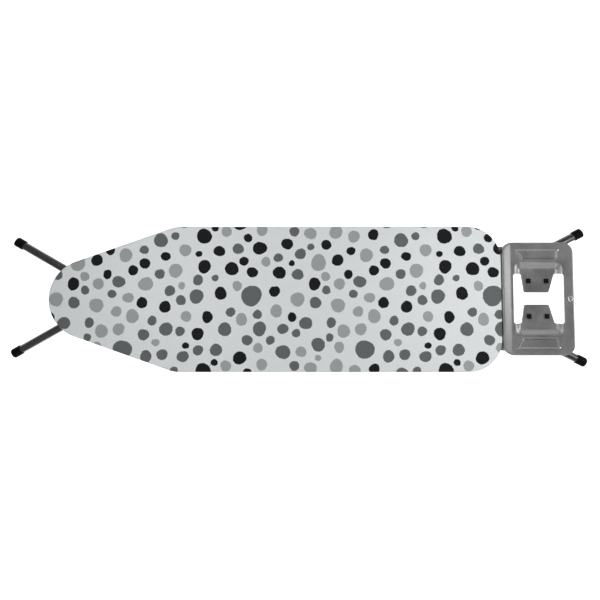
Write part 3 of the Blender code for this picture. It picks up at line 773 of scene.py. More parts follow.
@dataclass(frozen=True)
class PlatedFinish(Finish):
    """Plated or bare steel hardware with turning marks and slight tarnish."""

    name: str
    base: Colour
    tarnish: Colour
    roughness: float = 0.28
    stretch: Point = (1.0, 1.0, 1.0)
    grain_scale: float = 700.0

    def wire(self, sketch: Sketch, shader: bpy.types.Node, effects: Effects) -> None:
        """Wire colour, roughness and turning marks.

        Args:
            sketch: The material's sketch.
            shader: The Principled shader.
            effects: The shared node groups.
        """
        place = sketch.add("ShaderNodeTexCoord").outputs["Object"]
        grain = self.grouped(sketch, effects, Effect.GRAIN, {
            "Vector": place, "Scale": self.grain_scale, "Stretch": self.stretch,
            "Cloud Scale": 60.0})
        wear = self.grouped(sketch, effects, Effect.EDGE_WEAR, {"Radius": 0.0005,
                            "Amount": 0.6, "Breakup": 500.0})
        tarnished = sketch.remap(grain.outputs["Cloud"], 0.42, 0.7)
        colour = sketch.blend(tarnished, self.base, self.tarnish)
        colour = sketch.blend(wear.outputs["Mask"], colour, (0.9, 0.9, 0.9))
        sketch.feed(shader.inputs["Base Color"], colour)
        rough = sketch.remap(grain.outputs["Grain"], 0.3, 0.7, self.roughness - 0.08,
                             self.roughness + 0.14)
        sketch.feed(shader.inputs["Roughness"], rough)
        shader.inputs["Metallic"].default_value = 1.0
        normal = sketch.bump(grain.outputs["Grain"], 0.12, 0.0001)
        sketch.feed(shader.inputs["Normal"], normal)


@dataclass(frozen=True)
class CottonFinish(Finish):
    """White cotton with three printed shades of dots, read from the cover's attributes."""

    name: str = "printed_cotton"
    ground: Colour = (0.80, 0.83, 0.838)
    inks: tuple[tuple[str, Colour], ...] = (
        ("silver", (0.37, 0.395, 0.395)),
        ("slate", (0.136, 0.144, 0.148)),
        ("ink", (0.0065, 0.0065, 0.009)),
    )
    threads: float = 2300.0
    print_edge: float = 0.35        # half width of a dot's soft edge, in millimetres

    def wire(self, sketch: Sketch, shader: bpy.types.Node, effects: Effects) -> None:
        """Wire the weave, the dots and the cloth's soft sheen.

        Args:
            sketch: The material's sketch.
            shader: The Principled shader.
            effects: The shared node groups.
        """
        cloth = sketch.add("ShaderNodeUVMap", uv_map="cloth").outputs["UV"]
        weave = self.grouped(sketch, effects, Effect.WEAVE, {
            "Vector": cloth, "Threads": self.threads})
        wobble = sketch.remap(sketch.noise(cloth, 130.0, 3.0), 0.25, 0.75, -0.9, 0.9)
        fray = sketch.remap(sketch.noise(cloth, 1500.0, 1.0), 0.3, 0.7, -0.2, 0.2)
        ragged = sketch.math("ADD", wobble, fray)
        mottle = sketch.remap(sketch.noise(cloth, 260.0, 4.0), 0.3, 0.7, 0.965, 1.03)
        slub = sketch.remap(weave.outputs["Slub"], 0.3, 0.7, 0.985, 1.012)
        shade = sketch.math("MULTIPLY", mottle, slub)
        colour = sketch.add("ShaderNodeRGB").outputs[0]
        colour.default_value = (*self.ground, 1.0)
        for ink, tint in self.inks:
            distance = sketch.add("ShaderNodeAttribute", attribute_name="dots_" + ink)
            edge = sketch.math("ADD", distance.outputs["Fac"], ragged)
            printed = sketch.remap(edge, self.print_edge, -self.print_edge)
            missed = sketch.remap(weave.outputs["Height"], 0.0, 0.35, 0.93, 1.0)
            colour = sketch.blend(sketch.math("MULTIPLY", printed, missed), colour, tint)
        grey = sketch.add("ShaderNodeCombineColor", {"Red": shade, "Green": shade,
                          "Blue": shade}).outputs["Color"]
        colour = sketch.blend(1.0, colour, grey, "MULTIPLY")
        sketch.feed(shader.inputs["Base Color"], colour)
        rough = sketch.remap(weave.outputs["Height"], 0.0, 1.0, 0.95, 0.82)
        sketch.feed(shader.inputs["Roughness"], rough)
        shader.inputs["Specular IOR Level"].default_value = 0.14
        shader.inputs["Sheen Weight"].default_value = 0.03
        shader.inputs["Sheen Roughness"].default_value = 0.4
        crease = sketch.bump(sketch.noise(cloth, 45.0, 4.0), 0.1, 0.0006)
        normal = sketch.bump(weave.outputs["Height"], 0.35, 0.00012, crease)
        sketch.feed(shader.inputs["Normal"], normal)


@dataclass(frozen=True)
class FeltFinish(Finish):
    """Needled felt: tangled fibres of several near shades."""

    name: str
    base: Colour
    fleck: Colour

    def wire(self, sketch: Sketch, shader: bpy.types.Node, effects: Effects) -> None:
        """Wire the fibres and their bump.

        Args:
            sketch: The material's sketch.
            shader: The Principled shader.
            effects: The shared node groups.
        """
        place = sketch.add("ShaderNodeTexCoord").outputs["Object"]
        first = self.grouped(sketch, effects, Effect.GRAIN, {
            "Vector": place, "Scale": 900.0, "Stretch": (1.0, 0.15, 1.0), "Cloud Scale": 30.0})
        second = self.grouped(sketch, effects, Effect.GRAIN, {
            "Vector": place, "Scale": 800.0, "Stretch": (0.15, 1.0, 1.0), "Cloud Scale": 90.0})
        fibres = sketch.math("MAXIMUM", first.outputs["Grain"], second.outputs["Grain"])
        colour = sketch.blend(sketch.remap(fibres, 0.5, 0.75), self.base, self.fleck)
        sketch.feed(shader.inputs["Base Color"], colour)
        rough = sketch.remap(second.outputs["Cloud"], 0.3, 0.7, 0.88, 1.0)
        sketch.feed(shader.inputs["Roughness"], rough)
        shader.inputs["Sheen Weight"].default_value = 0.15
        normal = sketch.bump(fibres, 0.6, 0.0006)
        sketch.feed(shader.inputs["Normal"], normal)


@dataclass(frozen=True)
class BraidFinish(Finish):
    """Braided elastic: slanted plaits round the cord, with painted shade in the gaps between them."""

    name: str
    base: Colour
    # darker colour painted as shade into the low gaps between the plaits
    gap: Colour

    def wire(self, sketch: Sketch, shader: bpy.types.Node, effects: Effects) -> None:
        """Wire the plaits from the cord's own UV map.

        Args:
            sketch: The material's sketch.
            shader: The Principled shader.
            effects: The shared node groups.
        """
        cord = sketch.add("ShaderNodeUVMap", uv_map="cord").outputs["UV"]
        weave = self.grouped(sketch, effects, Effect.WEAVE, {"Vector": cord, "Threads": 900.0})
        height = weave.outputs["Height"]
        # painted shade: the low parts of the weave, between the plaits, take the darker gap colour
        colour = sketch.blend(sketch.remap(height, 0.1, 0.7), self.gap, self.base)
        sketch.feed(shader.inputs["Base Color"], colour)
        rough = sketch.remap(height, 0.0, 1.0, 0.9, 0.7)
        sketch.feed(shader.inputs["Roughness"], rough)
        normal = sketch.bump(height, 0.6, 0.0002)
        sketch.feed(shader.inputs["Normal"], normal)


@dataclass(frozen=True)
class Palette:
    """Every finish that the board wears."""

    cotton: Finish = CottonFinish()
    felt: Finish = FeltFinish("needled_felt", (0.50, 0.47, 0.42), (0.72, 0.70, 0.66))
    # the elastic's second colour is painted shade for the gaps between its plaits
    elastic: Finish = BraidFinish("braided_elastic", (0.78, 0.78, 0.76), (0.35, 0.35, 0.34))
    tray: Finish = PaintFinish(
        "tray_paint", (0.215, 0.215, 0.216), (0.25, 0.25, 0.25), (0.5, 0.5, 0.5),
        metallic=0.85, roughness=0.33, roughness_spread=0.05, stretch=(1.0, 0.25, 1.0), grain_scale=420.0,
        wear_radius=0.0007, wear=0.55, dust=0.08)
    frame: Finish = PaintFinish(
        "frame_paint", (0.16, 0.16, 0.165), (0.19, 0.19, 0.19), (0.42, 0.42, 0.42),
        metallic=0.4, roughness=0.45, wear=0.6, dust=0.1)
    panel: Finish = PaintFinish(
        "panel_paint", (0.2, 0.2, 0.205), (0.24, 0.24, 0.24), (0.45, 0.45, 0.45),
        metallic=0.5, roughness=0.5, wear_radius=0.0003, wear=0.4, dust=0.2)
    leg: Finish = PaintFinish(
        "leg_paint", (0.085, 0.086, 0.088), (0.10, 0.10, 0.102), (0.3, 0.3, 0.3),
        metallic=0.75, roughness=0.27, roughness_spread=0.04, coat=0.35, grain_scale=900.0,
        stretch=(0.2, 1.0, 1.0), grain_bump=0.08, wear=0.35, dust=0.05)
    zinc: Finish = PlatedFinish("zinc_plate", (0.56, 0.57, 0.6), (0.42, 0.42, 0.4))
    bright: Finish = PlatedFinish("bright_plate", (0.78, 0.78, 0.78), (0.55, 0.55, 0.54), 0.2)
    nylon: Finish = MouldedFinish("natural_nylon", (0.62, 0.61, 0.57), (0.45, 0.43, 0.39),
                                  roughness=0.42, subsurface=0.15)
    rubber: Finish = MouldedFinish("bumper_rubber", (0.004, 0.004, 0.004),
                                   (0.035, 0.035, 0.034), roughness=0.62, specular=0.1,
                                   texture_scale=1300.0, wear=0.25)
    plastic: Finish = MouldedFinish("black_moulding", (0.002, 0.002, 0.0023),
                                    (0.03, 0.03, 0.03), roughness=0.5, specular=0.1,
                                    wear=0.25)


# ------------------------------------------------------------------ the printed dots


class Ink(Enum):
    """The three shades that are printed."""

    INK = 0
    SLATE = 1
    SILVER = 2


@dataclass(frozen=True)
class Dot:
    """One dot of the print, with its middle and its half sizes in millimetres."""

    ink: Ink
    centre: np.ndarray
    half_width: float
    half_height: float


@dataclass(frozen=True)
class DotPrint:
    """A scattered print of dots: one repeat, laid side by side and end to end."""

    start: Pair = (-0.40, -0.177)           # where the first repeat starts on the board
    repeat: Pair = (0.640, 0.354)           # one repeat's length and width
    count: int = 104
    large: Pair = (54.0, 50.0)              # the two largest dots' widths, in millimetres
    widths: Point = (16.0, 30.0, 42.0)      # narrowest, usual and widest of all the others
    squat: float = 0.12                     # how much a dot's height may differ from its width
    tries: int = 60
    seed: int = 7

    def scatter(self) -> list[Dot]:
        """Spread one repeat's dots, the largest first, each where it finds the most room.

        Returns:
            The dots.
        """
        draw = np.random.default_rng(self.seed)
        others = np.sort(draw.triangular(*self.widths, self.count - len(self.large)))[::-1]
        size = np.array(self.repeat) * 1000
        dots: list[Dot] = []
        for number, width in enumerate((*self.large, *others)):
            places = draw.random((self.tries, 2)) * size
            room = np.full(self.tries, size.max())
            for dot in dots:
                apart = np.abs(places - dot.centre)
                apart = np.linalg.norm(np.minimum(apart, size - apart), axis=1)
                room = np.minimum(room, apart - dot.half_width)
            ink = Ink.SLATE if number < len(self.large) else Ink(draw.integers(len(Ink)))
            height = width * draw.uniform(1 - self.squat, 1 + self.squat)
            dots.append(Dot(ink, places[room.argmax()], width / 2, height / 2))
        return dots

    def distance(self, places: np.ndarray, ink: Ink) -> np.ndarray:
        """Distance from places on the flat cloth to the nearest dot's edge.

        Args:
            places: Rows of x and y in metres.
            ink: Which shade's dots are meant.

        Returns:
            The distances in millimetres, below zero inside a dot.
        """
        nearest = np.full(len(places), 40.0)
        for index, dot in enumerate(self.scatter()):
            if dot.ink is not ink:
                continue
            for repeat in (-2, -1, 0, 1):
                for row in (-1, 0, 1):
                    corner = np.array(self.start) + np.array(self.repeat) * (repeat, row)
                    offset = (places - corner) * 1000 - dot.centre
                    near = np.abs(offset).max(axis=1) < 75
                    if near.any():
                        found = self._blob(offset[near], dot.half_width, dot.half_height, index)
                        nearest[near] = np.minimum(nearest[near], found)
        return nearest

    @staticmethod
    def _blob(offset: np.ndarray, half_width: float, half_height: float,
              index: int) -> np.ndarray:
        """Distance to the edge of one dot, which is a slightly uneven oval.

        Args:
            offset: Rows of x and y from the dot's middle, in millimetres.
            half_width: Half the dot's width.
            half_height: Half the dot's height.
            index: The dot's number, which sets how it is uneven.

        Returns:
            The distances in millimetres.
        """
        angle = np.arctan2(offset[:, 1], offset[:, 0])
        uneven = 1 + 0.035 * np.sin(2 * angle + index * 1.7) + 0.03 * np.sin(3 * angle + index)
        scaled = offset / np.array((half_width, half_height)) / uneven[:, None]
        reach = np.linalg.norm(scaled, axis=1)
        slope = np.linalg.norm(scaled / np.array((half_width, half_height)), axis=1)
        return np.where(reach > 1e-6, reach * (reach - 1) / np.maximum(slope, 1e-9),
                        -min(half_width, half_height))


# ------------------------------------------------------------------ the board's outline


@dataclass(frozen=True)
class BoardOutline:
    """Outline of the covered board, with its ends and width taken from the frame."""

    nose: float
    tail: float
    half_width: float
    nose_radius: float = 0.105
    taper: float = math.radians(19.3)
    shoulder_radius: float = 0.090
    tail_radius: float = 0.088

    @classmethod
    def from_frame(cls) -> "BoardOutline":
        """Read the outline's ends and width from the cover's CAD node."""
        low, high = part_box("cover")
        return cls(low.x, high.x, high.y)

    def _corners(self) -> list[tuple[Vector, float, float, float]]:
        """Middle, radius, first and last angle of each arc of the +Y half."""
        nose = Vector((self.nose + self.nose_radius, 0.0))
        reach = self.nose_radius - math.sin(self.taper) * nose.x
        corner = (math.cos(self.taper) * self.half_width - reach) / math.sin(self.taper)
        shoulder = Vector((corner + self.shoulder_radius * math.tan(self.taper / 2),
                           self.half_width - self.shoulder_radius))
        tail = Vector((self.tail - self.tail_radius, self.half_width - self.tail_radius))
        turned = math.pi / 2 + self.taper
        return [(nose, self.nose_radius, math.pi, turned),
                (shoulder, self.shoulder_radius, turned, math.pi / 2),
                (tail, self.tail_radius, math.pi / 2, 0.0)]

    def _half(self, spacing: float) -> tuple[np.ndarray, np.ndarray]:
        """Evenly spaced places and outward normals of the +Y half, from nose to tail."""
        places: list[Vector] = []
        normals: list[Vector] = []
        for centre, radius, first, last in self._corners():
            start = centre + radius * Vector((math.cos(first), math.sin(first)))
            if places:
                gap = start - places[-1]
                count = max(1, round(gap.length / spacing))
                begin = places[-1]
                for step in range(1, count):
                    places.append(begin + gap * step / count)
                    normals.append(Vector((math.cos(first), math.sin(first))))
            count = max(2, round(radius * abs(last - first) / spacing))
            for step in range(count + 1):
                angle = first + (last - first) * step / count
                normal = Vector((math.cos(angle), math.sin(angle)))
                places.append(centre + radius * normal)
                normals.append(normal)
        end = places[-1]
        count = max(1, round(end.y / spacing))
        for step in range(1, count + 1):
            places.append(Vector((end.x, end.y * (1 - step / count))))
            normals.append(Vector((1.0, 0.0)))
        return np.array(places), np.array(normals)

    def points(self, spacing: float) -> tuple[np.ndarray, np.ndarray]:
        """Places and outward normals right round the outline.

        Args:
            spacing: Distance between neighbours, about.

        Returns:
            Rows of x and y, and rows of the normals.
        """
        places, normals = self._half(spacing)
        mirror = np.array((1.0, -1.0))
        other = slice(-2, 0, -1)
        return (np.vstack((places, places[other] * mirror)),
                np.vstack((normals, normals[other] * mirror)))

    def inset(self, places: np.ndarray, normals: np.ndarray, inset: float) -> np.ndarray:
        """Outline places moved inwards along their normals."""
        return places - normals * inset

    def contains(self, x: float, y: float, inset: float) -> bool:
        """Whether a place lies inside the outline moved inwards by inset."""
        width = abs(y)
        tapered = math.cos(self.taper) * width - math.sin(self.taper) * x
        reach = self.nose_radius - math.sin(self.taper) * (self.nose + self.nose_radius)
        if width > self.half_width - inset or tapered > reach - inset:
            return False
        if x > self.tail - inset or x < self.nose + inset:
            return False
        nose, _, tail = self._corners()
        before_taper = x < nose[0].x - nose[1] * math.sin(self.taper)
        past_side = x > tail[0].x and width > tail[0].y
        for corner, near in ((nose, before_taper), (tail, past_side)):
            if near and math.hypot(x - corner[0].x, width - corner[0].y) > corner[1] - inset:
                return False
        return True


OUTLINE = BoardOutline.from_frame()


def swept_mesh(name: str, rings: Sequence[np.ndarray], around: bool = True,
               along: bool = False) -> bpy.types.Object:
    """Skin a row of rings that all have the same number of places.

    Args:
        name: The piece's name.
        rings: One array of places for each ring.
        around: Whether each ring is closed.
        along: Whether the last ring joins the first one.

    Returns:
        The skinned surface as an object.
    """
    count = len(rings[0])
    verts = np.vstack(rings)
    faces = []
    last = len(rings) if along else len(rings) - 1
    for row in range(last):
        base, after = row * count, ((row + 1) % len(rings)) * count
        for i in range(count if around else count - 1):
            j = (i + 1) % count
            faces.append((base + i, base + j, after + j, after + i))
    mesh = bpy.data.meshes.new(name)
    mesh.from_pydata(verts.tolist(), [], faces)
    piece = bpy.data.objects.new(name, mesh)
    bpy.context.scene.collection.objects.link(piece)
    return piece


def lay_uv(piece: bpy.types.Object, label: str, places: np.ndarray) -> None:
    """Give a mesh a UV map from one place for each vertex.

    Args:
        piece: The mesh object.
        label: The UV map's name.
        places: Rows of two numbers, one for each vertex.
    """
    layer = piece.data.uv_layers.new(name=label)
    loops = np.zeros(len(piece.data.loops), dtype=np.int32)
    piece.data.loops.foreach_get("vertex_index", loops)
    layer.uv.foreach_set("vector", places[loops].astype(np.float32).ravel())


def store(piece: bpy.types.Object, label: str, values: np.ndarray) -> None:
    """Keep one number for each vertex as an attribute."""
    attribute = piece.data.attributes.new(label, "FLOAT", "POINT")
    attribute.data.foreach_set("value", values.astype(np.float32))


def waves(distance: np.ndarray, length: float, pitches: Sequence[float],
          seed: int) -> np.ndarray:
    """Uneven waves along a closed line, from -1 to 1, that meet where it closes.

    Args:
        distance: Where each place lies along the line.
        length: The whole line's length.
        pitches: Wave lengths to add together.
        seed: Sets the waves' phases.

    Returns:
        The wave's height at each place.
    """
    random = np.random.default_rng(seed)
    total = np.zeros(len(distance))
    for pitch in pitches:
        turns = max(1, round(length / pitch))
        phase, slow = random.uniform(0, 2 * math.pi, 2)
        gate = 0.6 + 0.4 * np.sin(2 * math.pi * distance / length * (turns // 7 + 2) + slow)
        total += gate * np.sin(2 * math.pi * distance / length * turns + phase)
    return total / len(pitches)


# ------------------------------------------------------------------ cover, pad and panel


@dataclass
class Cover:
    """Fitted cotton cover: flat top, rounded rim, and a lip gathered by the elastic."""

    spacing: float = 0.0055
    thick: float = 0.0006
    edge_radius: float = 0.0045
    lip_radius: float = 0.003
    gather: float = 0.0011
    hem_inset: float = 0.031
    spine_ends: Pair = (-0.545, 0.345)
    dots: DotPrint = field(default_factory=DotPrint)
    finish: Finish = Palette.cotton

    def __post_init__(self) -> None:
        """Read the cover's heights from the frame."""
        low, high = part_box("cover")
        self.lip = low.z
        self.top = high.z

    def _profile(self) -> list[tuple[float, float, float]]:
        """Inset, height and looseness of each ring from the flat top to the hem."""
        rows = [(inset, self.top, 0.0) for inset in np.arange(0.080, 0.007, -0.005)]
        for step in range(6):
            angle = math.pi / 2 * step / 5
            rows.append((self.edge_radius * (1 - math.sin(angle)),
                         self.top - self.edge_radius * (1 - math.cos(angle)), 0.02 * step))
        side_top = self.top - self.edge_radius
        side_end = self.lip + self.lip_radius
        for step in range(1, 4):
            part = step / 3
            rows.append((0.0, side_top + (side_end - side_top) * part, 0.1 + 0.25 * part))
        for step in range(1, 4):
            angle = math.pi / 2 * step / 3
            rows.append((self.lip_radius * (1 - math.cos(angle)),
                         side_end - self.lip_radius * math.sin(angle), 0.35 + 0.1 * step))
        inner = self.hem_inset + 0.0018
        for step in range(1, 7):
            part = step / 6
            rows.append((self.lip_radius + (inner - self.lip_radius) * part, self.lip,
                         0.65 + 0.35 * part))
        return rows + self._hem()

    def _hem(self) -> list[tuple[float, float, float]]:
        """The hem's roll round the elastic."""
        rows = []
        radius = 0.00245
        centre_z = self.lip + radius
        for step in range(1, 8):
            angle = -math.pi / 2 + math.pi * 1.25 * step / 7
            rows.append((self.hem_inset + 0.0008 + radius * math.cos(angle),
                         centre_z + radius * math.sin(angle), 1.0))
        return rows

    def build(self) -> bpy.types.Object:
        """Make the cover and print it.

        Returns:
            The finished cover.
        """
        edge, normals = OUTLINE.points(self.spacing)
        steps = np.linalg.norm(np.roll(edge, -1, axis=0) - edge, axis=1)
        distance = np.concatenate(([0.0], np.cumsum(steps)[:-1]))
        length = float(steps.sum())
        pucker = waves(distance, length, (0.017, 0.026, 0.041), seed=5)
        fold = waves(distance, length, (0.012, 0.019), seed=9)
        rings, flats = self._top_rings(edge, normals)
        travelled = 0.0
        previous = None
        for inset, z, loose in self._profile():
            if previous is not None and previous[1] < self.top + 1e-9:
                travelled += math.hypot(inset - previous[0], z - previous[1])
            flat_out = travelled - 0.080
            lift = self.gather * loose ** 1.5
            places = OUTLINE.inset(edge, normals, inset)
            sideways = (pucker * 0.6 + fold * 0.4) * lift
            outward = np.minimum(sideways, 0.0006)[:, None] * normals * (0.4 if loose < 0.5 else 0.9)
            drop = np.abs(pucker) * lift * (0.0 if loose < 0.35 else 1.0)
            rings.append(np.column_stack((places + outward, z - drop)))
            flats.append(edge + normals * flat_out)
            previous = (inset, z)
        piece = swept_mesh("fitted_cover", rings)
        cloth = np.vstack(flats)
        for ink in Ink:
            store(piece, "dots_" + ink.name.lower(), self.dots.distance(cloth, ink))
        lay_uv(piece, "cloth", cloth)
        with Bench.editing(piece):
            bpy.ops.mesh.remove_doubles(threshold=0.0001)
            bpy.ops.mesh.select_all(action="SELECT")
            bpy.ops.mesh.normals_make_consistent(inside=False)
        Bench.modify(piece, "SOLIDIFY", thickness=self.thick, offset=-1.0)
        Bench.hold(piece)
        bpy.ops.object.shade_smooth_by_angle(angle=math.radians(60))
        return piece

    def _top_rings(self, edge: np.ndarray,
                   normals: np.ndarray) -> tuple[list[np.ndarray], list[np.ndarray]]:
        """Rings of the flat top, from its spine out to where the profile starts.

        Args:
            edge: The outline's places.
            normals: The outline's normals.

        Returns:
            The rings, and the same rings on the flat cloth.
        """
        start = OUTLINE.inset(edge, normals, 0.080)
        spine = np.column_stack((np.clip(start[:, 0], *self.spine_ends), np.zeros(len(start))))
        rings, flats = [], []
        count = 22
        for step in range(count):
            flat = spine + (start - spine) * (step / count)
            rings.append(np.column_stack((flat, np.full(len(flat), self.top))))
            flats.append(flat)
        return rings, flats

    def turned_in(self) -> float:
        """How far the cloth goes on past the board's outline, down and in under it."""
        return self.top - self.lip + self.hem_inset + 0.006

    def flat_area(self) -> float:
        """Area that the cloth was cut to, in square metres."""
        edge, normals = OUTLINE.points(self.spacing)
        wide = OUTLINE.inset(edge, normals, -self.turned_in())
        x, y = wide[:, 0], wide[:, 1]
        return float(abs(np.dot(x, np.roll(y, -1)) - np.dot(y, np.roll(x, -1))) / 2)


@dataclass
class Elastic:
    """Braided elastic cord that draws the hem in under the board."""

    sides: int = 10
    finish: Finish = Palette.elastic

    def build(self) -> bpy.types.Object:
        """Sweep the cord round the hem.

        Returns:
            The closed cord.
        """
        low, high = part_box("hem_elastic")
        radius = (high.z - low.z) / 2
        centre_z = (high.z + low.z) / 2
        inset = OUTLINE.half_width - high.y + radius
        edge, normals = OUTLINE.points(0.005)
        line = OUTLINE.inset(edge, normals, inset)
        steps = np.linalg.norm(np.roll(line, -1, axis=0) - line, axis=1)
        along = np.concatenate(([0.0], np.cumsum(steps)))
        rings, cords = [], []
        for index in range(len(line) + 1):
            place, normal = line[index % len(line)], normals[index % len(line)]
            turns = 2 * math.pi * np.arange(self.sides + 1) / self.sides
            out = np.cos(turns)[:, None] * normal * radius
            rings.append(np.column_stack((place + out, centre_z + np.sin(turns) * radius)))
            turn = turns / (2 * math.pi) * 0.0094
            cords.append(np.column_stack((along[index] + turn, along[index] - turn)))
        piece = swept_mesh("braided_elastic", rings, around=False)
        lay_uv(piece, "cord", np.vstack(cords))
        return Bench.settle(piece, 60.0)


@dataclass
class Pad:
    """Felt pad between the panel and the cover, a little uneven underneath."""

    spacing: float = 0.009
    edge_radius: float = 0.0016
    unevenness: float = 0.0003
    insets: tuple[float, ...] = (0.112, 0.090, 0.070, 0.052, 0.036, 0.022, 0.012, 0.006)
    outline_inset: float = 0.080        # further in than this, rings close on the spine
    spine_ends: Pair = (-0.545, 0.345)
    finish: Finish = Palette.felt

    def build(self) -> bpy.types.Object:
        """Make the pad as one closed, softly rounded layer.

        Returns:
            The pad.
        """
        low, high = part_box("pad")
        base = OUTLINE.half_width - high.y
        edge, normals = OUTLINE.points(self.spacing)
        middle_z = (low.z + high.z) / 2
        half = (high.z - low.z) / 2
        deepest = self.insets[0]
        top = [(inset, half) for inset in self.insets]
        rim = []
        for step in range(1, 6):
            angle = math.pi / 2 - math.pi * step / 6
            rim.append((self.edge_radius * (1 - math.cos(angle)), half * math.sin(angle)))
        rows = top + rim + [(inset, -z) for inset, z in top[::-1]]
        rings = []
        for inset, z in rows:
            places = OUTLINE.inset(edge, normals, base + min(inset, self.outline_inset))
            if inset > self.outline_inset:
                spine = np.column_stack((np.clip(places[:, 0], *self.spine_ends),
                                         np.zeros(len(places))))
                places = spine + (places - spine) * (self.outline_inset + deepest - inset) / deepest
            ripple = self._ripple(places) * self.unevenness
            rings.append(np.column_stack((places, middle_z + z - np.sign(z) * ripple)))
        for ring, z in ((rings[0], half), (rings[-1], -half)):
            spine = np.clip(ring[:, 0], *self.spine_ends)
            inner = np.column_stack((spine, np.zeros(len(ring)),
                                     np.full(len(ring), middle_z + z - np.sign(z) * 0.0001)))
            if z > 0:
                rings.insert(0, inner)
            else:
                rings.append(inner)
        piece = swept_mesh("felt_pad", rings)
        with Bench.editing(piece):
            bpy.ops.mesh.remove_doubles(threshold=0.0001)
        return Bench.settle(piece, 60.0)

    @staticmethod
    def _ripple(places: np.ndarray) -> np.ndarray:
        """Slow unevenness of needled felt, from 0 to 1."""
        x, y = places[:, 0] * 1000, places[:, 1] * 1000
        wave = np.sin(x / 23 + np.sin(y / 31) * 2) * np.cos(y / 19 + np.sin(x / 47))
        return 0.5 + 0.5 * wave


@dataclass
class MeshPanel:
    """Expanded steel panel: slanted strands round rows of diamonds, with a solid edge."""

    diamond_long: float = 0.020
    diamond_short: float = 0.0105
    strand: float = 0.0016
    border: float = 0.012
    finish: Finish = Palette.panel

    def build(self) -> list[bpy.types.Object]:
        """Make the diamonds and the solid band round them.

        Returns:
            The diamond field and its band.
        """
        low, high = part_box("mesh_panel")
        inset = OUTLINE.half_width - high.y
        return [self._field(low, high, inset), self._band(low, high, inset)]

    def _field(self, low: Vector, high: Vector, inset: float) -> bpy.types.Object:
        """The diamonds, cut to the board's outline."""
        span = (high.x - low.x) / self.diamond_long + (high.y - low.y) / self.diamond_short
        cells = math.ceil(span) + 2
        bpy.ops.mesh.primitive_grid_add(x_subdivisions=cells, y_subdivisions=cells,
                                        size=cells / math.sqrt(2),
                                        location=(0, 0, 0), rotation=(0, 0, math.pi / 4))
        field_piece = Bench.take("diamond_field")
        bpy.ops.object.transform_apply(location=False, rotation=True, scale=False)
        middle_x = (low.x + high.x) / 2
        field_piece.scale = (self.diamond_long, self.diamond_short, 1.0)
        field_piece.location = (middle_x, 0.0, (low.z + high.z) / 2)
        bpy.ops.object.transform_apply(location=True, rotation=True, scale=True)
        reach = inset + self.border * 0.5
        with Bench.editing(field_piece):
            Bench.pick(field_piece, "FACE", lambda face: not OUTLINE.contains(
                face.calc_center_median().x, face.calc_center_median().y, reach + 0.004))
            bpy.ops.mesh.delete(type="FACE")
        Bench.modify(field_piece, "WIREFRAME", thickness=self.strand, use_even_offset=False,
                     use_boundary=True, use_replace=True, offset=0.0)
        flat = (high.z - low.z) * 0.5
        middle_z = (low.z + high.z) / 2
        for vertex in field_piece.data.vertices:
            vertex.co.z = middle_z + math.copysign(flat, vertex.co.z - middle_z)
        return Bench.settle(field_piece, 20.0)

    def _band(self, low: Vector, high: Vector, inset: float) -> bpy.types.Object:
        """The solid edge that is pressed flat round the diamonds."""
        edge, normals = OUTLINE.points(0.008)
        outer = OUTLINE.inset(edge, normals, inset)
        inner = OUTLINE.inset(edge, normals, inset + self.border)
        corners = [(outer, high.z), (inner, high.z), (inner, low.z), (outer, low.z)]
        rings = [np.column_stack((line, np.full(len(line), z))) for line, z in corners]
        return Bench.settle(swept_mesh("panel_band", rings, along=True), 30.0)


# ------------------------------------------------------------------ fitting pieces


class Fitter:
    """Gives finished pieces their finish, their body and the CAD nodes they stand for."""

    def __init__(self, effects: Effects) -> None:
        """Keep the shared node groups.

        Args:
            effects: The groups that the finishes use.
        """
        self.effects = effects

    def fit(self, piece: bpy.types.Object, finish: Finish, slot: str, body: Body,
            *nodes: str) -> bpy.types.Object:
        """Dress a piece and let it ride on its body.

        Args:
            piece: The finished object.
            finish: What it is painted or plated with.
            slot: Name of a material slot; not used.
            body: The rigid body that carries it.
            nodes: The CAD nodes that it replaces.

        Returns:
            The same piece.
        """
        piece.data.materials.clear()
        piece.data.materials.append(finish.material(self.effects))
        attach(piece, body.value)
        if nodes:
            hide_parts(*nodes)
        LOG.info("%s: %d faces on %s", piece.name, len(piece.data.polygons), body.value)
        return piece

    def carry_over(self, node: str, finish: Finish, slot: str, body: Body,
                   bevel: float = 0.0003) -> bpy.types.Object:
        """Stand a refined copy in for a folded or flat CAD node.

        Args:
            node: The CAD node.
            finish: What it is painted or plated with.
            slot: Name of a material slot; not used.
            body: The rigid body that carries it.
            bevel: Width of its broken edges.

        Returns:
            The copy.
        """
        piece = Bench.refined_copy(node, node + "_sheet", bevel)
        return self.fit(piece, finish, slot, body, node)


# ------------------------------------------------------------------ turned hardware


@dataclass(frozen=True)
class TurnedPart:
    """A bar, bolt, bush or washer that is turned about one axis."""

    node: str
    profile: tuple[Pair, ...]
    ring: bool
    finish: Finish
    slot: str
    body: Body
    steps: int = 40
    direction: Point = (0.0, 1.0, 0.0)

    def build(self, fitter: Fitter, centre: Vector) -> bpy.types.Object:
        """Turn the part about its node's axis.

        Args:
            fitter: Dresses the part.
            centre: Where the profile's own origin lies.

        Returns:
            The fitted part.
        """
        profile = [(radius / 1000, height / 1000) for radius, height in self.profile]
        piece = Bench.lathe(self.node + "_turned", profile, self.steps,
                            turned_to(Vector(self.direction), centre), self.ring)
        return fitter.fit(piece, self.finish, self.slot, self.body, self.node)


def washer_profile(bore: float, outer: float, low: float, high: float,
                   edge: float = 0.4) -> tuple[Pair, ...]:
    """Section of a plain ring with broken edges, in millimetres.

    Args:
        bore: Radius of the hole.
        outer: Outer radius.
        low: Height of one face.
        high: Height of the other face.
        edge: Width of the broken edges.

    Returns:
        The closed section.
    """
    half = edge / 3
    return ((bore, low + half), (bore + half, low), (outer - edge, low),
            (outer - half, low + half), (outer, low + edge), (outer, high - edge),
            (outer - half, high - half), (outer - edge, high), (bore + half, high),
            (bore, high - half))


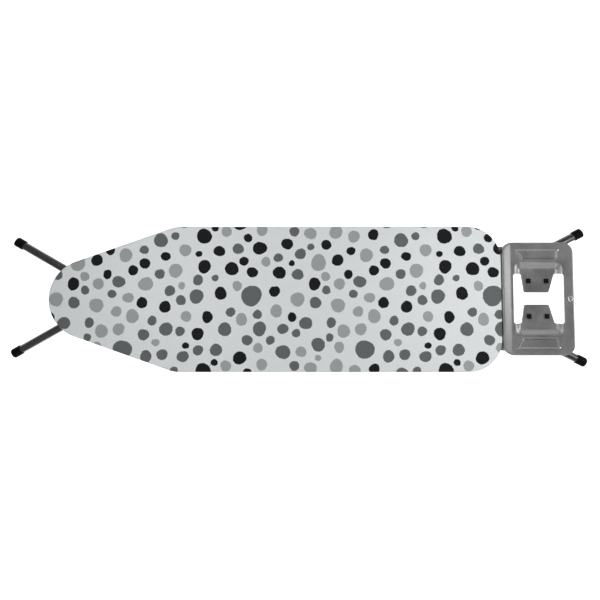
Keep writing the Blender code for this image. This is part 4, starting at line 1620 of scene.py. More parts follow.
def bar_profile(steps: Sequence[tuple[float, float, float]], edge: float = 0.6) -> tuple[Pair, ...]:
    """Section of a stepped round bar with rounded ends, in millimetres.

    Args:
        steps: Radius, start and end of each length of the bar, in order.
        edge: Width of the rounding at both ends.

    Returns:
        The open section, from one end of the axis to the other.
    """
    radius, start, _ = steps[0]
    rows = [(0.0, start), (radius - edge, start), (radius - edge * 0.3, start + edge * 0.3),
            (radius, start + edge)]
    for index, (radius, begin, end) in enumerate(steps):
        if index:
            rows.append((radius, begin))
        if index < len(steps) - 1:
            rows.append((radius, end))
    radius, _, end = steps[-1]
    rows += [(radius, end - edge), (radius - edge * 0.3, end - edge * 0.3),
             (radius - edge, end), (0.0, end)]
    return tuple(rows)


# ------------------------------------------------------------------ legs


@dataclass
class Leg:
    """One half of the scissors: two bent tubes with plugs and foot caps, and a strap.

    The tubes keep the frame's own shape; the rest is made here.
    """

    kind: str
    body: Body
    foot_sign: int
    tube_y: float
    foot_y: float
    splay: float
    angle: float
    arm: float = 0.480
    past_bar: float = 0.011
    foot_reach: float = 0.783
    radius: float = 0.011
    strap_width: float = 0.030
    strap_x: float = 0.520
    strap_thick: float = 0.0025

    def __post_init__(self) -> None:
        """Work out the plane that the leg's parts lie in."""
        self.plane = Matrix.Translation(middle("axle_sleeve")) @ \
            Matrix.Rotation(self.angle, 4, "Y")

    def build(self, fitter: Fitter) -> None:
        """Build both tubes with their ends, and the strap.

        Args:
            fitter: Dresses the pieces.
        """
        for side in Side:
            label = f"{self.kind}_{{}}_{side.label}"
            fitter.carry_over(label.format("tube"), Palette.leg, "leg", self.body)
            fitter.fit(self._foot(side), Palette.plastic, "black_plastic", self.body,
                       label.format("foot"))
            fitter.fit(self._plug(side), Palette.plastic, "black_plastic", self.body,
                       label.format("plug"))
        fitter.fit(self._strap(), Palette.leg, "leg", self.body, f"{self.kind}_brace")

    def _foot(self, side: Side) -> bpy.types.Object:
        """Foot cap: a cup with a domed end and a grooved collar."""
        profile = [(11.3, 25.4), (11.9, 26.0), (12.3, 25.9), (12.7, 25.5), (12.9, 24.8),
                   (12.95, 21.4), (12.6, 21.0), (12.55, 20.2), (12.95, 19.8), (13.0, 16.0),
                   (13.0, 4.0), (12.85, 2.9), (12.4, 1.9), (11.7, 1.1), (10.6, 0.5),
                   (9.0, 0.1), (7.4, 0.0), (6.6, 0.15), (6.2, 0.4), (0.0, 0.5), (0.0, 6.0),
                   (11.3, 6.0)]
        outline = [(radius / 1000, height / 1000) for radius, height in profile]
        place = Vector((self.foot_sign * self.foot_reach, side.value * self.foot_y, 0))
        back = Vector((-self.foot_sign * math.cos(self.splay),
                       -side.value * math.sin(self.splay), 0))
        return Bench.lathe(f"{self.kind}_cap_{side.label}", outline, 48,
                           self.plane @ turned_to(back, place), ring=True)

    def _plug(self, side: Side) -> bpy.types.Object:
        """Plug with a rounded head that closes the tube's top end."""
        profile = [(0.0, 1.5), (5.0, 1.45), (8.4, 1.25), (10.0, 0.95), (10.8, 0.5),
                   (11.0, 0.0), (9.7, 0.0), (9.7, -3.6), (9.3, -4.0), (0.0, -4.0)]
        outline = [(radius / 1000, height / 1000) for radius, height in profile]
        end = self.arm + self.past_bar + 0.0003
        place = Vector((-self.foot_sign * end, side.value * self.tube_y, 0))
        out = Vector((-self.foot_sign, 0, 0))
        return Bench.lathe(f"{self.kind}_end_plug_{side.label}", outline, 40,
                           self.plane @ turned_to(out, place))

    def _strap(self) -> bpy.types.Object:
        """Strap across the two tubes, with a long pressed bead."""
        reach = self.tube_y + self.radius
        bead = self.tube_y - self.radius - 0.004

        def height(x: float, y: float) -> float:
            """Raised bead along the strap's middle."""
            return 0.0008 * ramp(0.0055 - abs(x), 0.002) * ramp(bead - abs(y), 0.004)

        strap = Bench.pressed(f"{self.kind}_strap", (self.strap_width, 2 * reach), 0.0015,
                              height, self.strap_thick)
        place = Matrix.Translation((self.foot_sign * self.strap_x, 0,
                                    self.radius + 0.0003 + self.strap_thick))
        strap.matrix_world = self.plane @ place
        return Bench.settle(strap, 40.0)


@dataclass
class InnerLeg(Leg):
    """The leg pair that turns on the board's fixed brackets, with the axle's hardware."""

    bracket_outside: float = 101.25     # outer faces of the board's brackets, in millimetres

    def build(self, fitter: Fitter) -> None:
        """Build the leg, its pivot bar and the axle.

        Args:
            fitter: Dresses the pieces.
        """
        super().build(fitter)
        end = self.bracket_outside + 5.0
        bar = TurnedPart("pivot_bar", bar_profile([(6.0, -end, end)]), False, Palette.zinc,
                         "zinc", self.body)
        bar.build(fitter, self._place(self.arm))
        self._build_axle(fitter)
        cap = ((6.3, 0.0), (9.7, 0.0), (10.0, 0.3), (10.0, 1.4), (9.4, 2.3), (8.4, 3.1),
               (7.6, 3.5), (6.9, 3.6), (6.3, 3.5))
        for side in Side:
            out = (0.0, float(side.value), 0.0)
            edge = side.value * (self.bracket_outside + 0.3) / 1000
            part = TurnedPart("pivot_cap_" + side.label, cap, True, Palette.zinc, "zinc",
                              self.body, direction=out)
            part.build(fitter, self._place(self.arm) + self._across(edge))
            washer = TurnedPart("axle_washer_" + side.label,
                                washer_profile(4.3, 10.0, 0.0, 4.4), True, Palette.nylon,
                                "nylon", self.body, direction=out)
            washer.build(fitter, self._place(0.0) + self._across(side.value * 0.0413))

    def _place(self, along: float) -> Vector:
        """A place in the leg's plane, that far from the axle towards the leg's top end."""
        return self.plane @ Vector((-self.foot_sign * along, 0, 0))

    @staticmethod
    def _across(y: float) -> Vector:
        """A step along the axle."""
        return Vector((0, y, 0))

    def _build_axle(self, fitter: Fitter) -> None:
        """The axle's sleeve, bolt and nut.

        Args:
            fitter: Dresses the pieces.
        """
        sleeve = TurnedPart("axle_sleeve", washer_profile(4.3, 7.0, -18.4, 18.4), True,
                            Palette.zinc, "zinc", self.body)
        sleeve.build(fitter, self._place(0.0))
        head = 68.3
        dome = [(0.0, -head - 4.5), (2.6, -head - 4.35), (4.6, -head - 3.9),
                (6.3, -head - 3.1), (7.4, -head - 2.1), (7.9, -head - 1.0), (8.0, -head - 0.3),
                (7.8, -head), (4.0, -head)]
        shank = [(4.0, -head + 2.0)]
        pitch = 1.25
        thread_end = head + 7.2
        count = int((thread_end - head + 4.0) / pitch)
        for turn in range(count):
            low = head - 4.0 + turn * pitch
            shank += [(3.95, low), (3.4, low + pitch / 2)]
        tip = [(3.6, thread_end), (3.2, head + 8.0), (0.0, head + 8.0)]
        bolt = TurnedPart("axle_bolt", tuple(dome + shank + tip), False, Palette.zinc, "zinc",
                          self.body)
        bolt.build(fitter, self._place(0.0))
        self._nut(fitter)

    def _nut(self, fitter: Fitter) -> None:
        """Six-sided nut with chamfered corners and a nylon collar.

        Args:
            fitter: Dresses the piece.
        """
        bpy.ops.mesh.primitive_cylinder_add(vertices=6, radius=0.0075, depth=0.0048,
                                            location=(0, 0, 0.0024))
        nut = Bench.take("lock_nut")
        bpy.ops.object.transform_apply(location=True, rotation=False, scale=False)
        Bench.modify(nut, "BEVEL", width=0.0005, segments=3, limit_method="ANGLE",
                     angle_limit=math.radians(40))
        bpy.ops.mesh.primitive_cylinder_add(vertices=36, radius=0.0062, depth=0.0024,
                                            location=(0, 0, 0.0053))
        collar = Bench.take("lock_nut_collar")
        bpy.ops.object.transform_apply(location=True, rotation=False, scale=False)
        Bench.modify(collar, "BEVEL", width=0.0006, segments=3, limit_method="ANGLE",
                     angle_limit=math.radians(40))
        Bench.join(nut, collar)
        bore = Bench.rod_cutter(Vector((0, 0, 0.003)), 0.0043, Vector((0, 0, 1)))
        Bench.cut(nut, bore)
        place = self._place(0.0) + self._across(0.0683)
        nut.matrix_world = turned_to(Vector((0, 1, 0)), place)
        Bench.settle(nut, 30.0)
        fitter.fit(nut, Palette.zinc, "zinc", self.body, "axle_nut")


@dataclass
class OuterLeg(Leg):
    """The leg pair whose bar slides in the board's rails."""

    rail_y: float = 88.0                # middle of the rail's web, in millimetres

    def build(self, fitter: Fitter) -> None:
        """Build the leg, its slider bar, and the bar's bushes and rings.

        Args:
            fitter: Dresses the pieces.
        """
        super().build(fitter)
        centre = self.plane @ Vector((-self.foot_sign * self.arm, 0, 0))
        end = self.rail_y + 10.0
        steps = [(6.0, -end, end), (3.0, end, end + 12.0)]
        bar = TurnedPart("slider_bar", bar_profile(steps), False, Palette.zinc, "zinc",
                         self.body)
        bar.build(fitter, centre)
        bush = ((6.3, -3.7), (6.6, -4.0), (10.3, -4.0), (10.8, -3.7), (11.0, -3.2),
                (11.0, -2.0), (10.7, -1.5), (10.2, -1.3), (8.0, -1.3), (8.0, 1.3),
                (10.2, 1.3), (10.7, 1.5), (11.0, 2.0), (11.0, 3.2), (10.8, 3.7), (10.3, 4.0),
                (6.6, 4.0), (6.3, 3.7))
        ring = washer_profile(6.3, 9.5, 4.3, 7.5)
        for side in Side:
            out = (0.0, float(side.value), 0.0)
            place = centre + Vector((0, side.value * self.rail_y / 1000, 0))
            TurnedPart("slider_bush_" + side.label, bush, True, Palette.nylon, "nylon",
                       self.body, direction=out).build(fitter, place)
            TurnedPart("slider_cap_" + side.label, ring, True, Palette.zinc, "zinc",
                       self.body, direction=out).build(fitter, place)


# ------------------------------------------------------------------ iron rest


@dataclass
class TrayShape:
    """How the tray's sheet is stamped; all heights are from its flat top."""

    start: float
    end: float
    half: float
    corner_start: float = 0.034
    corner_end: float = 0.028
    edge_radius: float = 0.0036
    ridge_height: float = 0.005
    ridge_start: float = 0.002
    ridge_end: float = 0.0045
    ridge_foot: float = 0.027
    flap_drop: float = 0.006
    lobe_half: float = 0.066
    slot_half: float = 0.016
    lobe_start: float = 0.0325          # from the tray's start
    lobe_end: float = 0.167
    flap_start: Pair = (0.0545, 0.062)  # at the flap's root and at its tip
    flap_end: Pair = (0.1435, 0.1282)
    bend_inner: float = 0.076
    bend_outer: float = 0.102
    rib_inner: float = 0.1065
    rib_outer: float = 0.1310
    rib_start: Pair = (0.0545, 0.040)   # at the rib's inner and outer edge
    rib_end: float = 0.148
    rib_height: float = 0.0008
    groove_depth: float = 0.0018

    def height(self, x: float, y: float) -> float:
        """Height of the stamped sheet at a place.

        Args:
            x: Distance from the tray's start.
            y: Distance from its middle line.

        Returns:
            The height above the flat top.
        """
        side = abs(y)
        up = ramp(x - self.ridge_start / 2, self.ridge_start)
        slope = (self.ridge_foot - x) / (self.ridge_foot - self.ridge_end)
        total = self.ridge_height * min(up, eased(slope, 0.16))
        across = ramp((self.bend_inner + self.bend_outer) / 2 - side,
                      self.bend_outer - self.bend_inner)
        root, last = self.flap_start[0], self.flap_end[0]
        along = min(ramp(x - (self.lobe_start + root) / 2, root - self.lobe_start - 0.002),
                    ramp((last + self.lobe_end) / 2 - x, self.lobe_end - last - 0.002))
        total -= self.flap_drop * across * along
        part = min(max((side - self.rib_inner) / (self.rib_outer - self.rib_inner), 0.0), 1.0)
        start = self.rib_start[0] + (self.rib_start[1] - self.rib_start[0]) * part
        within = min(x - start, self.rib_end - x)
        rib = min(ramp(side - self.rib_inner, 0.0022), ramp(self.rib_outer - side, 0.004))
        total += self.rib_height * rib * ramp(within, 0.010)
        groove = max(0.0, 1 - abs(side - self.rib_inner + 0.001) / 0.0021)
        total -= self.groove_depth * groove * ramp(within - 0.002, 0.008)
        line = max(0.0, 1 - abs(side - self.rib_outer) / 0.0024)
        total -= self.groove_depth * 0.4 * line * ramp(within, 0.010)
        slant = max(0.0, 1 - abs(x - start + 0.001) / 0.0022)
        inside = min(side - self.rib_inner + 0.001, self.rib_outer - side)
        total -= self.groove_depth * 0.9 * slant * ramp(inside, 0.003)
        return total

    def opening(self, offset: float, spacing: float = 0.002) -> np.ndarray:
        """Outline of the H-shaped opening.

        Args:
            offset: How far the outline is moved outwards.
            spacing: Distance between places on the straight parts, about.

        Returns:
            Rows of x from the tray's start, and y, anticlockwise.
        """
        root, tip = self.flap_start
        last_root, last_tip = self.flap_end
        half = [(self.lobe_start, -self.lobe_half), (root, -self.lobe_half),
                (tip, -self.slot_half), (last_tip, -self.slot_half),
                (last_root, -self.lobe_half), (self.lobe_end, -self.lobe_half)]
        corners = half + [(x, -y) for x, y in half[::-1]]
        return filleted(corners, 0.0058, offset, spacing)


def filleted(corners: Sequence[Pair], radius: float, offset: float,
             spacing: float) -> np.ndarray:
    """Round the corners of an anticlockwise outline.

    Args:
        corners: The outline's corners.
        radius: Radius of every rounding.
        offset: How far the result is moved outwards.
        spacing: Distance between places on the straight parts, about.

    Returns:
        Rows of x and y.
    """
    rows: list[Vector] = []
    count = len(corners)
    for index in range(count):
        here = Vector(corners[index])
        before = (here - Vector(corners[index - 1])).normalized()
        after = (Vector(corners[(index + 1) % count]) - here).normalized()
        turn = before.angle_signed(after) * -1
        reach = radius * math.tan(abs(turn) / 2)
        left = Vector((-before.y, before.x)) * math.copysign(1, turn)
        centre = here - before * reach + left * radius
        arm = -left
        steps = 6
        arc = []
        for step in range(steps + 1):
            angle = turn * step / steps
            spoke = Vector((arm.x * math.cos(angle) - arm.y * math.sin(angle),
                            arm.x * math.sin(angle) + arm.y * math.cos(angle)))
            out = math.copysign(offset, turn)
            arc.append(centre + spoke * (radius + out))
        if rows:
            rows += between(rows[-1], arc[0], spacing)
        rows += arc
    rows += between(rows[-1], rows[0], spacing)
    return np.array([tuple(row) for row in rows])


def between(start: Vector, end: Vector, spacing: float) -> list[Vector]:
    """Evenly spaced places between two places, without the two themselves."""
    count = max(1, round((end - start).length / spacing))
    return [start + (end - start) * step / count for step in range(1, count)]


@dataclass
class Tray:
    """Pressed steel iron rest with two lowered flaps round an H-shaped opening."""

    cell: float = 0.0016
    sheet: float = 0.001
    lip: float = 0.0026
    finish: Finish = Palette.tray

    def __post_init__(self) -> None:
        """Read the tray's ends from the frame."""
        low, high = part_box("iron_tray")
        self.shape = TrayShape(low.x, high.x, high.y)
        self.bottom = low.z
        self.top = high.z - self.shape.ridge_height

    def build(self) -> bpy.types.Object:
        """Stamp the sheet, cut the opening and roll its edge.

        Returns:
            The tray.
        """
        tray = self._sheet()
        cutter = self._cutter()
        Bench.cut(tray, cutter)
        tray = Bench.join(tray, self._rolled_edge())
        return Bench.settle(tray, 38.0, outward=False)

    def _sheet(self) -> bpy.types.Object:
        """The stamped blank with its rounded edge and skirt."""
        shape = self.shape
        edge = shape.edge_radius
        length, half = shape.end - shape.start - 2 * edge, shape.half - edge
        columns, rows = round(length / self.cell), round(2 * half / self.cell)
        places, index = [], {}
        for row in range(rows + 1):
            for column in range(columns + 1):
                x = edge + length * column / columns
                y = -half + 2 * half * row / rows
                index[column, row] = len(places)
                x, y = self._rounded(x, y, length, half)
                places.append((shape.start + x, y, self.top + shape.height(x, y)))
        faces = [(index[c, r], index[c + 1, r], index[c + 1, r + 1], index[c, r + 1])
                 for r in range(rows) for c in range(columns)]
        border = ([index[c, 0] for c in range(columns)]
                  + [index[columns, r] for r in range(rows)]
                  + [index[c, rows] for c in range(columns, 0, -1)]
                  + [index[0, r] for r in range(rows, 0, -1)])
        self._skirt(places, faces, border, length, half)
        mesh = bpy.data.meshes.new("pressed_tray")
        mesh.from_pydata(places, [], faces)
        piece = bpy.data.objects.new("pressed_tray", mesh)
        bpy.context.scene.collection.objects.link(piece)
        with Bench.editing(piece):
            bpy.ops.mesh.normals_make_consistent(inside=False)
        Bench.modify(piece, "SOLIDIFY", thickness=self.sheet, offset=-1.0)
        return piece

    def _rounded(self, x: float, y: float, length: float, half: float) -> Pair:
        """Bend the grid's corners into quarter circles."""
        mid = self.shape.edge_radius + length / 2
        corner = self._corner(x - mid)
        over_x = abs(x - mid) - (length / 2 - corner)
        over_y = abs(y) - (half - corner)
        if over_x <= 0 or over_y <= 0:
            return x, y
        scale = max(over_x, over_y) / math.hypot(over_x, over_y)
        return (mid + math.copysign(length / 2 - corner + over_x * scale, x - mid),
                math.copysign(half - corner + over_y * scale, y))

    def _corner(self, side: float) -> float:
        """Corner radius of the flat part, on that side of the tray's middle."""
        shape = self.shape
        whole = shape.corner_start if side < 0 else shape.corner_end
        return whole - shape.edge_radius

    def _skirt(self, places: list[Point], faces: list[tuple[int, ...]], border: list[int],
               length: float, half: float) -> None:
        """Turn the blank's border down into a skirt.

        Args:
            places: The blank's places, which the skirt's are added to.
            faces: The blank's faces, which the skirt's are added to.
            border: The places along the border, in order.
            length: The flat part's length along X.
            half: Half of the flat part's width.
        """
        radius = self.shape.edge_radius
        mid = (self.shape.start + self.shape.end) / 2
        profile = [(radius * math.sin(math.pi / 12 * k), radius * (1 - math.cos(math.pi / 12 * k)))
                   for k in range(1, 7)]
        previous = border
        starts = [places[i] for i in border]
        for step, (out, drop) in enumerate(profile + [(radius, 0.0)] * 3):
            ring = []
            for x, y, z in starts:
                corner = self._corner(x - mid)
                over = Vector((max(abs(x - mid) - (length / 2 - corner), 0.0),
                               max(abs(y) - (half - corner), 0.0)))
                on_side = abs(abs(y) - half) < 1e-6
                normal = over.normalized() if over.x > 1e-7 and over.y > 1e-7 else \
                    Vector((0.0, 1.0) if on_side else (1.0, 0.0))
                if step >= len(profile):
                    part = (step - len(profile) + 1) / 3
                    drop = radius + (z - radius - self.bottom) * part
                ring.append(len(places))
                places.append((x + math.copysign(normal.x, x - mid) * out,
                               y + math.copysign(normal.y, y) * out, z - drop))
            for i in range(len(ring)):
                j = (i + 1) % len(ring)
                faces.append((previous[i], ring[i], ring[j], previous[j]))
            previous = ring

    def _cutter(self) -> bpy.types.Object:
        """Cutter for the opening, a little wider than the opening itself."""
        outline = self.shape.opening(0.0012)
        rings = [np.column_stack((outline[:, 0] + self.shape.start, outline[:, 1],
                                  np.full(len(outline), z)))
                 for z in (self.top - 0.02, self.top + 0.02)]
        cutter = swept_mesh("opening_cutter", rings)
        with Bench.editing(cutter):
            bpy.ops.mesh.fill_holes(sides=0)
            bpy.ops.mesh.select_all(action="SELECT")
            bpy.ops.mesh.normals_make_consistent(inside=False)
        return cutter

    def _rolled_edge(self) -> bpy.types.Object:
        """The rolled-down edge of the opening."""
        section = [(0.0016, 0.00003), (0.0011, 0.0), (0.0006, -0.00015), (0.00025, -0.0004),
                   (0.00005, -0.0008), (0.0, -0.0012), (0.0, -self.lip), (0.0009, -self.lip),
                   (0.0009, -0.0013), (0.0012, -0.00095), (0.0016, -0.00085)]
        rings = []
        for offset, drop in section:
            outline = self.shape.opening(offset)
            heights = [self.top + self.shape.height(x, y) + drop
                       for x, y in self.shape.opening(0.0012)]
            rings.append(np.column_stack((outline[:, 0] + self.shape.start, outline[:, 1],
                                          heights)))
        edge = swept_mesh("rolled_edge", rings, along=True)
        with Bench.editing(edge):
            bpy.ops.mesh.normals_make_consistent(inside=False)
        return edge


@dataclass
class IronRest:
    """The tray with its arms, rivets, rubber bumpers and the socket of the cable holder."""

    bumper_size: Point = (0.0112, 0.0126, 0.0050)

    def build(self, fitter: Fitter) -> None:
        """Build every piece of the rest.

        Args:
            fitter: Dresses the pieces.
        """
        tray = Tray()
        fitter.fit(tray.build(), tray.finish, "tray", Body.BOARD, "iron_tray")
        for side in Side:
            fitter.carry_over("tray_arm_" + side.label, Palette.frame, "frame", Body.BOARD)
            self._rivet(side, tray).build(fitter, self._below("tray_rivet_" + side.label,
                                                              tray.top + 0.0003))
        for number in range(1, 5):
            node = f"iron_bumper_{number}"
            place = self._below(node, tray.top - tray.shape.flap_drop + 0.0001)
            fitter.fit(self._bumper(number, place), Palette.rubber, "rubber", Body.BOARD, node)
        socket = ((3.5, -7.9), (4.9, -7.9), (5.0, -0.2), (5.4, 0.0), (7.3, 0.0), (7.5, 0.3),
                  (7.5, 0.7), (7.2, 1.2), (6.6, 1.6), (5.8, 1.85), (5.0, 1.7), (4.3, 1.2),
                  (3.8, 0.4), (3.5, -0.8))
        part = TurnedPart("cable_socket", socket, True, Palette.bright, "bright", Body.BOARD,
                          48, (0.0, 0.0, 1.0))
        part.build(fitter, self._below("cable_socket", tray.top + 0.0003))

    @staticmethod
    def _below(node: str, height: float) -> Vector:
        """Middle of a node, taken at the height of the sheet that it sits on."""
        centre = middle(node)
        return Vector((centre.x, centre.y, height))

    @staticmethod
    def _rivet(side: Side, tray: Tray) -> TurnedPart:
        """A rivet with a low domed head.

        Args:
            side: Which side of the tray it is on.
            tray: The tray that it holds.

        Returns:
            The rivet as a turned part.
        """
        foot = -tray.sheet * 1000 - 3.4
        profile = ((0.0, 1.75), (1.1, 1.65), (2.1, 1.35), (2.9, 0.9), (3.45, 0.35), (3.6, 0.05),
                   (3.5, 0.0), (2.2, -0.1), (2.2, foot), (3.3, foot), (3.6, foot - 0.4),
                   (3.4, foot - 1.0), (2.8, foot - 1.2), (0.0, foot - 1.2))
        return TurnedPart("tray_rivet_" + side.label, profile, False, Palette.bright, "bright",
                          Body.BOARD, 32, (0.0, 0.0, 1.0))

    def _bumper(self, number: int, place: Vector) -> bpy.types.Object:
        """A soft block with rounded edges, and the barb that holds it in the flap.

        Args:
            number: The bumper's number.
            place: Middle of the block's underside.

        Returns:
            The bumper.
        """
        bpy.ops.mesh.primitive_cube_add(size=1.0)
        block = Bench.take(f"rubber_bumper_{number}")
        block.scale = self.bumper_size
        block.location = place + Vector((0, 0, self.bumper_size[2] / 2))
        bpy.ops.object.transform_apply(location=True, rotation=False, scale=True)
        Bench.modify(block, "BEVEL", width=0.0017, segments=4, limit_method="ANGLE",
                     angle_limit=math.radians(40))
        barb = [(0.0, 0.001), (3.0, 0.001), (3.0, -1.3), (4.2, -1.5), (4.1, -2.1), (2.6, -4.9),
                (2.0, -5.2), (0.0, -5.2)]
        profile = [(radius / 1000, height / 1000) for radius, height in barb]
        stem = Bench.lathe("bumper_barb", profile, 24, Matrix.Translation(place))
        return Bench.settle(Bench.join(block, stem), 40.0)


# ------------------------------------------------------------------ height adjuster


@dataclass(frozen=True)
class Run:
    """A straight length of tube or wire."""

    length: float


@dataclass(frozen=True)
class Bend:
    """A bend in the XY plane; a positive angle turns to the left."""

    angle: float
    radius: float
    steps: int = 10


def bent_round(name: str, radius: float, sides: int, start: Point, heading: float,
               moves: Sequence[Run | Bend]) -> bpy.types.Object:
    """Draw a round section out along straights and bends.

    Args:
        name: The piece's name.
        radius: Radius of the tube or wire.
        sides: How many sides its section has.
        start: Middle of its first end.
        heading: Angle from X that it starts off in.
        moves: The straights and bends in order.

    Returns:
        The open-ended skin.
    """
    bpy.ops.mesh.primitive_circle_add(vertices=sides, radius=radius, location=start,
                                      rotation=(0, math.pi / 2, heading))
    piece = Bench.take(name)
    bpy.ops.object.transform_apply(location=True, rotation=True, scale=True)
    place = Vector(start)
    with Bench.editing(piece):
        for move in moves:
            ahead = Vector((math.cos(heading), math.sin(heading), 0))
            if isinstance(move, Run):
                step = ahead * move.length
                bpy.ops.mesh.extrude_region_move(TRANSFORM_OT_translate={"value": step})
                place = place + step
                continue
            left = Vector((-ahead.y, ahead.x, 0)) * math.copysign(move.radius, move.angle)
            centre = place + left
            bpy.ops.mesh.spin(steps=move.steps, angle=-move.angle, center=centre,
                              axis=(0, 0, 1))
            place = centre - Matrix.Rotation(move.angle, 3, "Z") @ left
            heading += move.angle
    with Bench.editing(piece):
        bpy.ops.mesh.remove_doubles(threshold=0.00001)
        bpy.ops.mesh.select_all(action="SELECT")
        bpy.ops.mesh.normals_make_consistent(inside=False)
    return piece


def swept_wire(name: str, path: Sequence[Vector], radius: float,
               sides: int = 12) -> bpy.types.Object:
    """Sweep a round wire along a path in space.

    Args:
        name: The piece's name.
        path: The wire's middle line.
        radius: The wire's radius.
        sides: How many sides the wire has.

    Returns:
        The closed wire.
    """
    rings = []
    across = None
    for index, place in enumerate(path):
        ahead = (path[min(index + 1, len(path) - 1)] - path[max(index - 1, 0)]).normalized()
        across = ahead.orthogonal().normalized() if across is None else \
            (across - ahead * across.dot(ahead)).normalized()
        other = ahead.cross(across)
        turns = [2 * math.pi * k / sides for k in range(sides)]
        rings.append(np.array([tuple(place + (across * math.cos(t) + other * math.sin(t))
                                     * radius) for t in turns]))
    piece = swept_mesh(name, rings)
    with Bench.editing(piece):
        bpy.ops.mesh.fill_holes(sides=0)
    return Bench.settle(piece, 40.0)


@dataclass
class HeightAdjuster:
    """Sprung lever: a rod in two lugs, with a toothed comb and a bent wire handle."""

    wire_tilt: float = math.radians(-15.0)
    wire_radius: float = 0.003
    wire_start: float = -0.297
    wire_end: float = -0.243
    wire_reach: float = 0.029
    wire_bend: float = 0.007

    def __post_init__(self) -> None:
        """Find the rod's axis."""
        self.axis = middle("lever_rod")

    def build(self, fitter: Fitter) -> None:
        """Build the lever and what holds it.

        Args:
            fitter: Dresses the pieces.
        """
        low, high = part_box("lever_rod")
        half = (high.x - low.x) * 500
        rod = TurnedPart("lever_rod", bar_profile([(4.0, -half, half)], 0.5), False,
                         Palette.zinc, "zinc", Body.LEVER, 32, (1.0, 0.0, 0.0))
        rod.build(fitter, self.axis)
        fitter.carry_over("height_comb", Palette.zinc, "zinc", Body.LEVER, 0.00025)
        fitter.fit(self._wire(), Palette.zinc, "zinc", Body.LEVER, "lever_wire")
        fitter.fit(self._grip(), Palette.plastic, "black_plastic", Body.LEVER, "lever_grip")
        for end in ("front", "rear"):
            fitter.carry_over("lever_lug_" + end, Palette.frame, "frame", Body.BOARD)
        fitter.fit(self._spring(), Palette.zinc, "zinc", Body.BOARD, "lever_spring")

    def _wire(self) -> bpy.types.Object:
        """The bent wire that the grip sits on."""
        out = self.wire_reach - self.wire_bend - 0.0045
        across = self.wire_end - self.wire_start - 2 * self.wire_bend
        quarter = Bend(-math.pi / 2, self.wire_bend, 8)
        moves = [Run(out), quarter, Run(across), quarter, Run(out)]
        wire = bent_round("lever_handle", self.wire_radius, 20, (self.wire_start, 0.0045, 0.0),
                          math.pi / 2, moves)
        with Bench.editing(wire):
            bpy.ops.mesh.fill_holes(sides=0)
        wire.matrix_world = self._swung()
        return Bench.settle(wire, 40.0)

    def _swung(self) -> Matrix:
        """Placing matrix of the handle's own plane."""
        place = Matrix.Translation((0, self.axis.y, self.axis.z))
        return place @ Matrix.Rotation(self.wire_tilt, 4, "X")

    def _grip(self) -> bpy.types.Object:
        """Sleeve with shallow finger grooves."""
        low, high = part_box("lever_grip")
        half = (high.x - low.x) / 2
        outline = [(0.0033, -half), (0.0058, -half), (0.0066, -half + 0.0004),
                   (0.0070, -half + 0.0013)]
        grooves = 9
        for groove in range(grooves):
            centre = (groove - (grooves - 1) / 2) * 0.0034
            for step, depth in ((-0.0008, 0.0), (-0.0004, 0.0004), (0.0004, 0.0004),
                                (0.0008, 0.0)):
                outline.append((0.0070 - depth, centre + step))
        outline += [(0.0070, half - 0.0013), (0.0066, half - 0.0004), (0.0058, half),
                    (0.0033, half)]
        centre = (low + high) / 2
        return Bench.lathe("handle_sleeve", outline, 40,
                           turned_to(Vector((1, 0, 0)), centre), ring=True)

    def _spring(self) -> bpy.types.Object:
        """Return spring: six coils round the rod, with two straight legs."""
        low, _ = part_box("lever_spring")
        start = low.x + 0.0168
        coil, wire = 0.0055, 0.0008
        axis = self.axis
        path = [Vector((start - 0.016, axis.y - 0.009, axis.z - 0.0046)),
                Vector((start - 0.009, axis.y - 0.009, axis.z - 0.0046)),
                Vector((start - 0.002, axis.y - 0.0085, axis.z - 0.0046))]
        steps = 24
        for step in range(6 * steps + 1):
            angle = math.radians(225) + 2 * math.pi * step / steps
            path.append(Vector((start + step * 0.0022 / steps, axis.y + coil * math.cos(angle),
                                axis.z + coil * math.sin(angle))))
        last = path[-1]
        path.append(last + Vector((0.0015, 0.008, -0.003)))
        return swept_wire("return_spring", path, wire)


# ------------------------------------------------------------------ board


